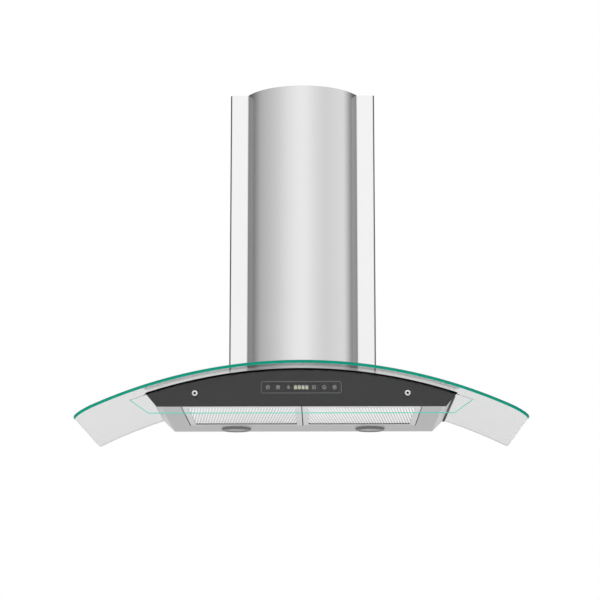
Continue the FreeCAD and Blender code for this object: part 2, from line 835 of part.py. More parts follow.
def box_outline(inset):
    """Plan of the fan box: a rectangle with canted front corners, inset by a wall."""
    cant = f"({inset} * 0.45)"
    return [
        (f"-box_half + {inset}", f"-box_rear - {inset}"),
        (f"-box_half + {inset}", f"-box_wing + {inset}"),
        (f"-box_cant_outer - {cant}", f"-box_wing + {inset}"),
        (f"-box_cant_inner - {cant}", f"-box_front + {inset}"),
        (f"box_cant_inner + {cant}", f"-box_front + {inset}"),
        (f"box_cant_outer + {cant}", f"-box_wing + {inset}"),
        (f"box_half - {inset}", f"-box_wing + {inset}"),
        (f"box_half - {inset}", f"-box_rear - {inset}"),
    ]


def blower_box():
    """Galvanised box that stands on the glass, closed on top but for the collar's hole."""
    body = new_body("blower_box")
    place(body)
    walls = new_sketch(body, "walls", "XY_Plane", "glass_rise - 25")
    draw(walls, box_outline("0"))
    pad(body, walls, "box_top - glass_rise + 25")
    room = new_sketch(body, "room", "XY_Plane", "glass_rise - 25")
    draw(room, box_outline("sheet"))
    pocket(body, room, "box_top - glass_rise + 25 - sheet")
    cut_below_arch(body, BOX_BASE, "(box_half + 20)", "box_front + 20")
    flange = new_sketch(body, "flange", "XZ_Plane", "box_rear")
    draw(flange, band(BOX_BASE, f"({BOX_BASE} + sheet)", "box_half"))
    pad(body, flange, "box_wing - box_rear")
    cut_airway(body, "airway_half", "airway_rear", "airway_front")
    punch_bolt_holes(body)
    outlet = new_sketch(body, "outlet", "XY_Plane", "box_top - 3")
    draw_circle(outlet, "collar_radius - collar_wall", "0", "-collar_line")
    pocket(body, outlet, "5")


def turned(radius):
    """Outline of a turned piece inside the fan box."""
    return polygon(int(value("turned_corners")), radius)


def scroll_outline(grow, top):
    """Volute of three quarter arcs whose centres step outwards, open at the top.

    The sketch's x is the object's Y, with the wheel's axis at its origin.
    """
    start = f"(scroll_start + {grow})"
    step = "scroll_step"
    tongue_y = f"({start} * cos(tongue_angle))"
    tongue_z = f"({start} * sin(tongue_angle))"
    return [
        (tongue_y, top),
        (tongue_y, tongue_z),
        (start, "0", "0", "0"),
        (f"-{step}", f"-{start} - {step}", f"-{step}", "0"),
        (f"-{start} - 3 * {step}", step, f"-{step}", step),
        (f"-{start} - 3 * {step}", top),
    ]


def scroll_housing():
    """Moulded blower casing: a scroll with flat side plates and a round inlet on each side.

    The wheel goes in through the left side plate, so its hole there is wider.
    """
    body = new_body("scroll_housing")
    place(body, "0", "-wheel_line", "wheel_level")
    top = "(box_top - sheet - wheel_level)"
    outside = new_sketch(body, "outside", "YZ_Plane", "-scroll_half")
    draw(outside, scroll_outline("scroll_wall", top))
    pad(body, outside, "2 * scroll_half")
    inside = new_sketch(body, "inside", "YZ_Plane", "-scroll_half + scroll_wall")
    draw(inside, scroll_outline("0", f"({top} + 5)"))
    pocket(body, inside, "2 * (scroll_half - scroll_wall)")
    for name, radius, start in (("left", "inlet_hole", "-scroll_half - 1"),
                                ("right", "inlet_throat", "scroll_half - 4")):
        inlet = new_sketch(body, f"{name}_inlet", "YZ_Plane", start)
        draw(inlet, turned(radius))
        pocket(body, inlet, "5")


def inlet_ring():
    """Flanged steel ring that narrows the left inlet once the wheel is in."""
    body = new_body("inlet_ring")
    place(body, "0", "-wheel_line", "wheel_level")
    flange = new_sketch(body, "flange", "YZ_Plane", "-scroll_half - 1.5")
    draw(flange, turned("inlet_flange"))
    draw(flange, turned("inlet_throat"))
    pad(body, flange, "1.5")
    throat = new_sketch(body, "throat", "YZ_Plane", "-scroll_half")
    draw(throat, turned("inlet_throat + 1.5"))
    draw(throat, turned("inlet_throat"))
    pad(body, throat, "scroll_half - inlet_reach")


def fan_wheel():
    """Double-inlet wheel: a middle disc, two rims and a ring of forward-curved blades."""
    body = new_body("fan_wheel")
    place(body, "0", "-wheel_line", "wheel_level")
    disc = new_sketch(body, "disc", "YZ_Plane", "-wheel_disc / 2")
    draw(disc, turned("wheel_radius - 1"))
    draw_circle(disc, "shaft_radius")
    pad(body, disc, "wheel_disc")
    hub = new_sketch(body, "hub", "YZ_Plane", "-hub_half")
    draw(hub, turned("hub_radius"))
    draw_circle(hub, "shaft_radius")
    pad(body, hub, "2 * hub_half")
    blade = new_sketch(body, "blade", "YZ_Plane", "-wheel_half")
    inner = "blade_middle_radius - blade_half_chord"
    outer = "blade_middle_radius + blade_half_chord"
    draw(blade, [
        (inner, "0"),
        ("blade_middle_radius", "-blade_sag"),
        (outer, "0"),
        (outer, "-blade_thickness"),
        ("blade_middle_radius", "-blade_sag - blade_thickness"),
        (inner, "-blade_thickness"),
    ])
    first = pad(body, blade, "2 * wheel_half")
    ring = body.newObject("PartDesign::PolarPattern", "blade_ring")
    ring.Originals = [first]
    ring.Axis = (blade, ["N_Axis"])
    ring.Angle = 360
    ring.setExpression("Occurrences", bound("blade_count"))
    body.Tip = ring
    doc.recompute()
    for name, start in (("left_rim", "-wheel_half"), ("right_rim", "wheel_half - wheel_rim_width")):
        rim = new_sketch(body, name, "YZ_Plane", start)
        draw(rim, turned("wheel_radius + 0.8"))
        draw(rim, turned("wheel_radius + 0.8 - wheel_rim_height"))
        pad(body, rim, "wheel_rim_width")


def motor_shaft():
    """Steel shaft, pressed in the wheel's hub and running in the motor's bearing."""
    body = new_body("motor_shaft")
    place(body, "0", "-wheel_line", "wheel_level")
    rod = new_sketch(body, "rod", "YZ_Plane", "-motor_near - 30")
    draw_circle(rod, "shaft_radius")
    pad(body, rod, "motor_near + 30 + hub_half + 3")


def motor():
    """Round motor in the left inlet, with a bearing nose for the shaft."""
    body = new_body("motor")
    place(body, "0", "-wheel_line", "wheel_level")
    case = new_sketch(body, "case", "YZ_Plane", "-motor_far")
    draw(case, turned("motor_radius"))
    pad(body, case, "motor_far - motor_near - 8")
    nose = new_sketch(body, "nose", "YZ_Plane", "-motor_near - 8")
    draw(nose, turned("motor_radius / 2"))
    pad(body, nose, "8")
    bearing = new_sketch(body, "bearing", "YZ_Plane", "-motor_near - 31")
    draw_circle(bearing, "shaft_radius + bearing_fit")
    pocket(body, bearing, "32")


def motor_bracket():
    """Three-armed steel plate that holds the motor in front of the left inlet."""
    body = new_body("motor_bracket")
    place(body, "0", "-wheel_line", "wheel_level")
    collar = new_sketch(body, "collar", "YZ_Plane", "-scroll_half - 3.5")
    draw(collar, polygon(6, "motor_radius + 11"))
    draw(collar, turned("motor_radius"))
    pad(body, collar, "2")
    arm = new_sketch(body, "arm", "YZ_Plane", "-scroll_half - 3.5")
    draw(arm, rectangle("-bracket_arm / 2", "bracket_arm / 2", "motor_radius + 2", "inlet_flange - 1"))
    first = pad(body, arm, "2")
    arms = body.newObject("PartDesign::PolarPattern", "bracket_arms")
    arms.Originals = [first]
    arms.Axis = (arm, ["N_Axis"])
    arms.Angle = 360
    arms.Occurrences = 3
    body.Tip = arms
    doc.recompute()


def run_capacitor():
    """Motor capacitor in its rectangular case, under the top of the fan box."""
    body = new_body("run_capacitor")
    place(body, "112", "-60", "box_top - sheet")
    case = new_sketch(body, "case", "XY_Plane", "-capacitor_height")
    draw(case, rectangle("-capacitor_width / 2", "capacitor_width / 2", "-24", "24"))
    pad(body, case, "capacitor_height")


# ---------------------------------------------------------------- duct collar and flaps

def duct_collar():
    """Ring on a square flange that takes a 150 mm duct."""
    body = new_body("duct_collar")
    place(body, "0", "-collar_line", "box_top")
    flange = new_sketch(body, "flange", "XY_Plane")
    draw(flange, rectangle("-collar_flange", "collar_flange", "-collar_flange", "collar_flange"))
    pad(body, flange, "collar_wall")
    tube = new_sketch(body, "tube", "XY_Plane", "collar_wall")
    draw_circle(tube, "collar_radius")
    pad(body, tube, "collar_height - collar_wall")
    bore = new_sketch(body, "bore", "XY_Plane", "-1")
    draw_circle(bore, "collar_radius - collar_wall")
    pocket(body, bore, "collar_height + 2")


def damper_pin():
    """Thin rod across the collar that both flaps hang on."""
    body = new_body("damper_pin")
    place(body, "0", "-collar_line", "box_top + flap_level")
    rod = new_sketch(body, "rod", "XZ_Plane", "-collar_radius + collar_wall")
    draw_circle(rod, "flap_pin_radius")
    pad(body, rod, "2 * (collar_radius - collar_wall)")


def damper_flap(name, side):
    """Half-round flap hung on the pin by one long knuckle, the left in front of the right."""
    body = new_body(f"{name}_damper_flap")
    place(body, "0", "-collar_line", "box_top + flap_level")
    bore = "(flap_pin_radius + flap_pin_fit)"
    knuckle = f"({bore} + knuckle_wall)"
    edge_x = f"({knuckle} + 0.6)"
    half_chord = f"sqrt(flap_radius^2 - {edge_x}^2)"
    plate = new_sketch(body, "plate", "XY_Plane", "-flap_thickness / 2")
    draw(plate, [
        (f"{side} * {edge_x}", f"-{half_chord}"),
        (f"{side} * flap_radius", "0", "0", "0"),
        (f"{side} * {edge_x}", half_chord, "0", "0"),
    ])
    pad(body, plate, "flap_thickness")
    start = "(-knuckle_near - knuckle_length)" if side < 0 else "knuckle_near"
    tab = new_sketch(body, "tab", "XY_Plane", "-flap_thickness / 2")
    draw(tab, rectangle(f"{side} * ({bore} + 0.3)", f"{side} * ({edge_x} + 0.5)",
                        start, f"({start} + knuckle_length)"))
    pad(body, tab, "flap_thickness")
    ring = new_sketch(body, "knuckle", "XZ_Plane", f"-({start} + knuckle_length)")
    draw(ring, polygon(8, knuckle))
    draw_circle(ring, bore)
    pad(body, ring, "knuckle_length")


# ---------------------------------------------------------------- chimney

def chimney_outline(inset):
    """Plan of a chimney cover: flat sides and wings, and the rounded front between them."""
    radius = f"({BULGE_RADIUS} - {inset})"
    centre = f"(-chimney_wing - bulge_depth + {BULGE_RADIUS})"
    wing = f"(-chimney_wing + {inset})"
    shoulder = f"sqrt({radius}^2 - ({wing} - {centre})^2)"
    return [
        (f"-chimney_half + {inset}", f"-{inset}"),
        (f"-chimney_half + {inset}", wing),
        (f"-{shoulder}", wing),
        (shoulder, wing, "0", centre),
        (f"chimney_half - {inset}", wing),
        (f"chimney_half - {inset}", f"-{inset}"),
    ]


def chimney_cover(name, inset, low, high):
    """Folded sheet cover with narrow flanges along the wall."""
    body = new_body(name)
    place(body)
    outside = new_sketch(body, "outside", "XY_Plane", low)
    draw(outside, chimney_outline(inset))
    pad(body, outside, f"{high} - {low}")
    inside = new_sketch(body, "inside", "XY_Plane", f"{low} - 1")
    draw(inside, chimney_outline(f"({inset} + sheet)"))
    pocket(body, inside, f"{high} - {low} + 2")
    back = new_sketch(body, "back", "XY_Plane", f"{low} - 1")
    half = f"(chimney_half - {inset} - chimney_flange)"
    draw(back, rectangle(f"-{half}", half, f"-{inset} - 3 * sheet", "1"))
    pocket(body, back, f"{high} - {low} + 2")
    corner_x = value(f"chimney_half - {inset}")
    corner_y = value(f"-chimney_wing + {inset}")
    round_edges(body, "chimney_corner",
                lambda edge, middle: edge.Length > 200 and abs(abs(middle.x) - corner_x) < 0.1
                and abs(middle.y - corner_y) < 0.1)
    round_edges(body, "chimney_corner - sheet",
                lambda edge, middle: edge.Length > 200
                and abs(abs(middle.x) - corner_x + value("sheet")) < 0.1
                and abs(middle.y - corner_y - value("sheet")) < 0.1)
    return body


def lower_chimney_cover():
    """Visible cover, trimmed below to the curve of the glass it stands on."""
    body = chimney_cover("lower_chimney_cover", "0", "(glass_rise - 30)", "chimney_top")
    cut_below_arch(body, GLASS_TOP, "(chimney_half + 10)", "chimney_wing + bulge_depth + 10")
    punch_sides(body)


def upper_chimney_cover():
    """Telescoping cover, drawn up out of the lower one to reach the ceiling."""
    chimney_cover("upper_chimney_cover", "(sheet + telescope_gap)", "upper_cover_base",
                  "upper_cover_top")


def punch_sides(body):
    """The two square holes for the screws that pin the lower cover to the brackets."""
    holes = new_sketch(body, "screw_holes", "YZ_Plane", "-chimney_half - 5")
    draw(holes, square("cover_screw_hole_half", "-cover_screw_line", "cover_screw_level"))
    pocket(body, holes, "2 * chimney_half + 10")


def cover_brackets():
    """Two angle brackets on the fan box that the lower cover is screwed to."""
    body = new_body("cover_brackets")
    place(body)
    section = new_sketch(body, "section", "XZ_Plane", "cover_screw_line - cover_bracket_width / 2")
    for side in SIDES.values():
        outer = f"{side} * cover_bracket_half"
        inner = f"{side} * (cover_bracket_half - 22)"
        draw(section, [
            (inner, "box_top"),
            (outer, "box_top"),
            (outer, "box_top + cover_bracket_height"),
            (f"{side} * (cover_bracket_half - sheet)", "box_top + cover_bracket_height"),
            (f"{side} * (cover_bracket_half - sheet)", "box_top + sheet"),
            (inner, "box_top + sheet"),
        ])
    pad(body, section, "cover_bracket_width")
    punch_sides(body)


def cover_screws():
    """One screw on each side; the telescoped upper cover stands on their shanks."""
    body = new_body("cover_screws")
    place(body)
    for name, side in SIDES.items():
        low_x = "-chimney_half" if side < 0 else "cover_bracket_half - 4"
        shank = new_sketch(body, f"{name}_shank", "YZ_Plane", low_x)
        draw(shank, polygon(12, "cover_screw_radius", "-cover_screw_line", "cover_screw_level"))
        pad(body, shank, "chimney_half - cover_bracket_half + 4")
        head = new_sketch(body, f"{name}_head", "YZ_Plane",
                          "-chimney_half - 2" if side < 0 else "chimney_half")
        draw(head, polygon(6, "cover_screw_head", "-cover_screw_line", "cover_screw_level"))
        pad(body, head, "2")


def chimney_wall_bracket():
    """Strip screwed to the wall that keeps the covers upright."""
    body = new_body("chimney_wall_bracket")
    place(body, "0", "0", "chimney_bracket_level")
    half = "(chimney_half - chimney_flange)"
    face = new_sketch(body, "face", "XZ_Plane")
    draw(face, rectangle(f"-{half}", half, "0", "chimney_bracket_height"))
    for side in SIDES.values():
        draw_circle(face, "chimney_bracket_hole_radius", f"{side} * chimney_bracket_hole_x",
                    "chimney_bracket_height / 2")
    pad(body, face, "sheet")


# ---------------------------------------------------------------- build, test and write

def build_all():
    canopy_glass()
    front_glass_panel()
    black_fascia()
    front_panel_screws()
    panel_spacers()
    touch_board()
    key_pads()
    display_module()
    control_housing()
    lamp_driver()
    underside_panel()
    body_front_wall()
    body_back_plate()
    body_top_plate()
    arched_gasket("body_gasket", PLATE_TOP, GLASS_UNDER)
    arched_gasket("box_gasket", GLASS_TOP, BOX_BASE)
    clamp_bolts()
    lamp_bezels()
    lamp_lenses()
    lamp_housings()
    lamp_leds()
    for name, side in SIDES.items():
        glass_seal(name, side)
        filter_frame(name, side)
        filter_mesh(name, side)
        filter_latch(name, side)
        damper_flap(name, side)
    blower_box()
    scroll_housing()
    inlet_ring()
    fan_wheel()
    motor_shaft()
    motor()
    motor_bracket()
    run_capacitor()
    duct_collar()
    damper_pin()
    lower_chimney_cover()
    upper_chimney_cover()
    chimney_wall_bracket()
    cover_brackets()
    cover_screws()


def test_all():
    """Stops the build if any object failed or any piece has no sound solid."""
    for item in doc.Objects:
        if "Invalid" in item.State or "Error" in item.State:
            raise RuntimeError(f"{item.Name} failed: {item.State}")
    for item in nodes:
        if item.Shape.isNull() or not item.Shape.isValid() or item.Shape.Volume <= 0:
            raise RuntimeError(f"{item.Label} has no valid solid")


def write_all():
    os.makedirs("parts", exist_ok=True)
    for item in nodes:
        item.Shape.exportStep(f"parts/{item.Label}.step")


fill_sheet()
build_all()
doc.recompute()
test_all()
write_all()
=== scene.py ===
import json
import math
import bmesh
import bpy
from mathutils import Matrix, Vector
from mathutils.geometry import delaunay_2d_cdt


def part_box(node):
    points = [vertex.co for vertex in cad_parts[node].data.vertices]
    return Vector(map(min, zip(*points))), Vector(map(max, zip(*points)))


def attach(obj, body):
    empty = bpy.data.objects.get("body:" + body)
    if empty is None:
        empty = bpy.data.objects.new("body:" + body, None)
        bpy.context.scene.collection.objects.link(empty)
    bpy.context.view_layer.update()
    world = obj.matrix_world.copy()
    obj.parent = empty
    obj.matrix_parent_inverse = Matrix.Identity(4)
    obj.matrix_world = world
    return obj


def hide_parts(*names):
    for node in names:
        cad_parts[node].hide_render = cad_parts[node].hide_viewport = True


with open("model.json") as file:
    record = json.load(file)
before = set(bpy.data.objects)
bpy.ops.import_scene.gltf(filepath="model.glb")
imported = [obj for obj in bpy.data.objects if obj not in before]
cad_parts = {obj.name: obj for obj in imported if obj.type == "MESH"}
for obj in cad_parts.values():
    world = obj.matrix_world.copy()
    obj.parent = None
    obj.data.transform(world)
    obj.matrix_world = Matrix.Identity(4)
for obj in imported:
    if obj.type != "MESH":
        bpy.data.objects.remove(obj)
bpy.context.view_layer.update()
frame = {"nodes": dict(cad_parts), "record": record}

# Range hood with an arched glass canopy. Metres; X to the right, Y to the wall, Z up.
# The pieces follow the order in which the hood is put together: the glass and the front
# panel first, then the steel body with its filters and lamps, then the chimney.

SIDES = {"left": -1, "right": 1}


# ---------------------------------------- canopy glass
# One sheet of 6 mm toughened float glass, bent to an arch of 1 m radius, with rounded
# front corners and a polished edge. The green of the edge is the iron in the glass.

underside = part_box("underside_panel")[0].z
ARCH_RADIUS = 1.0
ARCH_RISE = 0.075
arch_centre = underside + ARCH_RISE - ARCH_RADIUS
GLASS_HALF = 0.003
under_canopy = ARCH_RADIUS - GLASS_HALF
glass_depth = -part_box("canopy_glass")[0].y


def arch_height(radius, x):
    """Height of an arch about the canopy's axis, at a distance x from the middle."""
    return arch_centre + math.sqrt(radius ** 2 - x ** 2)


def skin(bm, first, second, finish=0, closed=True):
    """Joins two rows of corners with a strip of faces, which it returns."""
    strip = []
    for here in range(len(first) if closed else len(first) - 1):
        there = (here + 1) % len(first)
        face = bm.faces.new((first[here], second[here], second[there], first[there]))
        face.material_index = finish
        strip.append(face)
    return strip


WELD = 1e-6
FLAT_NORMAL = 0.99999


def add_object(name, data):
    """Puts a new object into the scene."""
    thing = bpy.data.objects.new(name, data)
    bpy.context.scene.collection.objects.link(thing)
    return thing


def new_mesh(name, bm, materials):
    """Turns a finished bmesh into a mesh whose faces point outwards."""
    bmesh.ops.recalc_face_normals(bm, faces=bm.faces)
    mesh = bpy.data.meshes.new(name)
    bm.to_mesh(mesh)
    bm.free()
    for material in materials:
        mesh.materials.append(material)
    return mesh


def new_piece(name, bm, materials, sharp=35):
    """Turns a finished bmesh into an object whose flats are flat and whose curves are smooth."""
    bmesh.ops.remove_doubles(bm, verts=bm.verts, dist=WELD)
    mesh = new_mesh(name, bm, materials)
    mesh.shade_smooth()
    mesh.set_sharp_from_angle(angle=math.radians(sharp))
    for face in mesh.polygons:
        face.use_smooth = max(abs(part) for part in face.normal) < FLAT_NORMAL
    return add_object(name, mesh)


def add_node(tree, kind, sockets=None, **settings):
    """Adds a node, with its own settings and with sockets fed by links or plain values."""
    node = tree.nodes.new(kind)
    for name, value in settings.items():
        setattr(node, name, value)
    for socket, value in (sockets or {}).items():
        if isinstance(value, bpy.types.NodeSocket):
            tree.links.new(value, node.inputs[socket])
        else:
            node.inputs[socket].default_value = value
    return node


def new_material(name, **values):
    """A Principled material with the constants set on the shader's own sockets."""
    material = bpy.data.materials.new(name)
    material.use_nodes = True
    shader = material.node_tree.nodes["Principled BSDF"]
    for socket, value in values.items():
        shader.inputs[socket.replace("_", " ")].default_value = value
    return material, material.node_tree, shader


def new_group(name, inputs, outputs):
    """An empty shader group with named inputs and outputs."""
    tree = bpy.data.node_groups.new(name, "ShaderNodeTree")
    for label, kind, default in inputs:
        socket = tree.interface.new_socket(label, in_out="INPUT", socket_type=kind)
        socket.default_value = default
    for label in outputs:
        tree.interface.new_socket(label, in_out="OUTPUT", socket_type="NodeSocketFloat")
    return tree, tree.nodes.new("NodeGroupInput"), tree.nodes.new("NodeGroupOutput")


def maths(tree, operation, first, second=0.0):
    """Output of a Math node whose inputs are sockets or numbers."""
    return add_node(tree, "ShaderNodeMath", {0: first, 1: second}, operation=operation).outputs[0]


def scaled(tree, colour, factor):
    """A colour times a value."""
    sockets = {0: colour, "Scale": factor}
    return add_node(tree, "ShaderNodeVectorMath", sockets, operation="SCALE").outputs[0]


def noise(tree, coordinates, scale, detail=2.0, roughness=0.5):
    sockets = {"Vector": coordinates, "Scale": scale, "Detail": detail, "Roughness": roughness}
    return add_node(tree, "ShaderNodeTexNoise", sockets).outputs["Fac"]


def object_coordinates(tree, scale=(1, 1, 1)):
    place = tree.nodes.new("ShaderNodeTexCoord").outputs["Object"]
    return add_node(tree, "ShaderNodeMapping", {"Vector": place, "Scale": scale}).outputs["Vector"]


def swing_shade(tree, value, amount, shade):
    """Feeds a shade with 1 plus the swing of a noise, and returns the swing."""
    swing = maths(tree, "MULTIPLY", maths(tree, "SUBTRACT", value, 0.5), amount)
    tree.links.new(maths(tree, "ADD", swing, 1.0), shade)
    return swing


def smudge_group():
    """Faint wiped smears and dust: a value about 1 for colour and one to add to roughness."""
    tree, given, result = new_group(
        "wiped_smears",
        [("Size", "NodeSocketFloat", 9.0), ("Amount", "NodeSocketFloat", 0.02)],
        ["Shade", "Roughness"])
    smear = noise(tree, object_coordinates(tree, (1, 1, 2.5)), given.outputs["Size"], 4)
    swing = swing_shade(tree, smear, given.outputs["Amount"], result.inputs["Shade"])
    tree.links.new(maths(tree, "ABSOLUTE", swing), result.inputs["Roughness"])
    return tree


wiped_smears = smudge_group()


def add_smears(tree, size, amount):
    """The smears as a node: size in marks per metre, amount as a share of the colour."""
    sockets = {"Size": size, "Amount": amount}
    return add_node(tree, "ShaderNodeGroup", sockets, node_tree=wiped_smears)


def smeared(name, colour, roughness, size, amount, **values):
    """A material of one basic colour and roughness, which the smears vary."""
    material, tree, shader = new_material(name, **values)
    smears = add_smears(tree, size, amount)
    tinted = scaled(tree, colour, smears.outputs["Shade"])
    rough = maths(tree, "ADD", smears.outputs["Roughness"], roughness)
    tree.links.new(tinted, shader.inputs["Base Color"])
    tree.links.new(rough, shader.inputs["Roughness"])
    return material


CLEAR_TINT = (0.986, 0.994, 0.991)
clear_glass = smeared("clear_glass", CLEAR_TINT, 0.0, 6.0, 0.004,
                      Transmission_Weight=1.0, IOR=1.47)
polished_edge = smeared("polished_green_edge", (0.0, 0.245, 0.165), 0.2, 40.0, 0.35,
                        Specular_IOR_Level=0.12)
seamed_edge = smeared("seamed_pale_edge", (0.84, 0.90, 0.88), 0.35, 60.0, 0.15,
                      Specular_IOR_Level=0.3)

CANOPY_HALF = 0.45
CORNER_FRONT = 0.045
CORNER_REAR = 0.010
CORNER_TURN = 6
STATIONS = 44
EDGE_BEVEL = 0.0016
BEVEL_TURNS = (0, 30, 60, 90)
OPENING_HALF = 0.134
OPENING_ROWS = (-0.175, -0.015)
spread = math.asin(CANOPY_HALF / ARCH_RADIUS) * ARCH_RADIUS


def canopy_columns():
    """Stations along the arch, closer together round the corners and at the opening."""
    stations = {0.0, OPENING_HALF}
    evenly = (spread * step / STATIONS for step in range(STATIONS + 1))
    stations.update(place for place in evenly if place < spread - CORNER_FRONT)
    for radius in (CORNER_FRONT, CORNER_REAR):
        stations.update(spread - radius + radius * math.sin(math.radians(angle))
                        for angle in range(0, 91, CORNER_TURN))
    ordered = sorted(round(place, 7) for place in stations)
    return [-place for place in reversed(ordered[1:])] + ordered


def canopy_point(along, y, height):
    turn = along / ARCH_RADIUS
    radius = ARCH_RADIUS + height
    return (radius * math.sin(turn), y, arch_centre + radius * math.cos(turn))


def canopy_outline(inset, height):
    """The rim, anticlockwise seen from above, drawn in by an inset, at one height."""
    columns = canopy_columns()
    rim = []
    for corner, row in ((CORNER_FRONT, columns), (CORNER_REAR, reversed(columns))):
        for along in row:
            over = abs(along) - (spread - corner)
            angle = math.asin(min(1, over / corner)) if over > 0 else 0.0
            back = corner - (corner - inset) * math.cos(angle)
            y = -glass_depth + back if corner == CORNER_FRONT else -back
            drawn = math.copysign(inset * math.sin(angle), along)
            rim.append(canopy_point(along - drawn, y, height))
    return rim


def canopy_mesh():
    """The bent sheet with its rounded rim and the airway's opening."""
    bm = bmesh.new()
    columns = canopy_columns()
    count = len(columns)
    turns = [math.radians(angle) for angle in BEVEL_TURNS]
    profile = [(EDGE_BEVEL * (1 - math.cos(turn)), GLASS_HALF - EDGE_BEVEL * (1 - math.sin(turn)))
               for turn in turns]
    rims = [canopy_outline(inset, height) for inset, height in reversed(profile)]
    rims += [canopy_outline(inset, -height) for inset, height in profile]
    loops = [[bm.verts.new(point) for point in rim] for rim in rims]
    for upper, lower in zip(loops, loops[1:]):
        for face in skin(bm, upper, lower, 2)[:count - 1]:
            face.material_index = 1
    openings = []
    for loop, height in ((loops[0], GLASS_HALF), (loops[-1], -GLASS_HALF)):
        front, rear = loop[:count], loop[count:][::-1]
        rows = {index: [bm.verts.new(canopy_point(along, y, height)) for y in OPENING_ROWS]
                for index, along in enumerate(columns) if abs(along) <= OPENING_HALF + WELD}
        for index in range(count - 1):
            here, there = rows.get(index, []), rows.get(index + 1, [])
            if here and there:
                bm.faces.new((front[index], front[index + 1], there[0], here[0]))
                bm.faces.new((here[1], there[1], rear[index + 1], rear[index]))
            else:
                bm.faces.new([front[index], front[index + 1]] + there
                             + [rear[index + 1], rear[index]] + here[::-1])
        keys = sorted(rows)
        openings.append([rows[key][0] for key in keys] + [rows[key][1] for key in reversed(keys)])
    skin(bm, *openings, 2)
    return bm


def follow_arch(mesh):
    """Gives the two curved faces the arch's true normals, so that they refract evenly."""
    normals = []
    for face in mesh.polygons:
        for corner in face.vertices:
            place = mesh.vertices[corner].co
            outwards = Vector((place.x, 0, place.z - arch_centre)).normalized()
            if face.material_index:
                normals.append(Vector((0, 0, 0)))
            else:
                normals.append(outwards if face.normal.dot(outwards) > 0 else -outwards)
    mesh.normals_split_custom_set(normals)


canopy = new_piece("canopy_sheet", canopy_mesh(), [clear_glass, polished_edge, seamed_edge])
follow_arch(canopy.data)
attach(canopy, "root")
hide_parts("canopy_glass")


# ---------------------------------------- clear front panel
# Flat 5 mm glass screwed on in front of the body, its top edge cut to the canopy's curve.
# Its arrises are ground, so the green shows as a thin line; the top edge over the touch plate is
# coloured black.

PANEL_BEVEL = 0.0011
PANEL_GAP = 0.0062
PANEL_BOTTOM_HALF = 0.3035
PRINT_ROOM = 0.0002
TOP_EDGE = 0.004
ARCH_STEPS = 72
SCREW_HOLE = 0.0032
SCREW_X = 0.211
screw_z = underside + 0.0178
panel_low, panel_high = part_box("front_glass_panel")
fascia_low, fascia_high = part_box("black_fascia")


def arched_outline(foot, level, half, radius):
    """Outline of a front plate: a straight foot, then the arched top from right to left."""
    places = (half - 2 * half * step / ARCH_STEPS for step in range(ARCH_STEPS + 1))
    top = [Vector((x, arch_height(radius, x))) for x in places]
    return [Vector((-foot, level)), Vector((foot, level))] + top


def arc(x, z, radius, start, stop, steps=16):
    """Points of an arc between two angles in degrees."""
    angles = (math.radians(start + (stop - start) * k / steps) for k in range(steps + 1))
    return [Vector((x + radius * math.cos(angle), z + radius * math.sin(angle)))
            for angle in angles]


def circle(x, z, radius, steps):
    return arc(x, z, radius, 0, 360, steps)[:-1]


def rectangle(x, y, far_x, far_y):
    return [Vector(corner) for corner in ((x, y), (far_x, y), (far_x, far_y), (x, far_y))]


def inset_outline(points, inset):
    """A closed outline drawn in by a constant distance (outwards for a hole)."""
    moved = []
    turn = sum(a.x * b.y - b.x * a.y for a, b in zip(points, points[1:] + points[:1]))
    side = 1 if turn > 0 else -1
    for index, point in enumerate(points):
        before = (point - points[index - 1]).normalized()
        after = (points[(index + 1) % len(points)] - point).normalized()
        first = Vector((-before.y, before.x)) * side
        second = Vector((-after.y, after.x)) * side
        bisector = (first + second).normalized()
        moved.append(point + bisector * (inset / max(0.3, bisector.dot(first))))
    return moved


def inside(point, outline):
    """Whether a point lies in a closed outline."""
    crossings = 0
    for a, b in zip(outline, outline[1:] + outline[:1]):
        if (a.y > point.y) != (b.y > point.y):
            crossings += point.x < a.x + (b.x - a.x) * (point.y - a.y) / (b.y - a.y)
    return crossings % 2 == 1


def fill_flat(bm, outlines, corners):
    """Covers the first outline with triangles and leaves out the holes that follow it."""
    points, edges = [], []
    for outline in outlines:
        start = len(points)
        points.extend(outline)
        edges.extend((start + k, start + (k + 1) % len(outline)) for k in range(len(outline)))
    places, _, triangles, sources = delaunay_2d_cdt(points, edges, [], 1, 1e-9)[:4]
    for triangle in triangles:
        middle = sum((places[index] for index in triangle), Vector((0, 0))) / len(triangle)
        if inside(middle, outlines[0]) and not any(inside(middle, hole) for hole in outlines[1:]):
            bm.faces.new([corners[sources[index][0]] for index in triangle])


def plate(bm, outlines, near, far, bevel, edge_material=0):
    """A flat plate with rounded edges and holes, from its outlines in the front view."""
    profile = [(bevel * (1 - math.sin(turn)), near + bevel * (1 - math.cos(turn)))
               for turn in (0, math.pi / 4, math.pi / 2)]
    profile += [(inset, far + near - depth) for inset, depth in reversed(profile)]
    flats, corners = {0: [], -1: []}, {0: [], -1: []}
    for number, outline in enumerate(outlines):
        drawn = [inset_outline(outline, -inset if number else inset) for inset, _ in profile]
        rims = [[bm.verts.new(stand(point, depth)) for point in points]
                for points, (_, depth) in zip(drawn, profile)]
        for before, after in zip(rims, rims[1:]):
            skin(bm, after, before, edge_material)
        for end in flats:
            flats[end].append(drawn[end])
            corners[end] += rims[end]
    for end in flats:
        fill_flat(bm, flats[end], corners[end])


def stand(point, depth):
    """Puts a front view's point in its place; depth is the distance in front of the wall."""
    return (point.x, -depth, point.y)


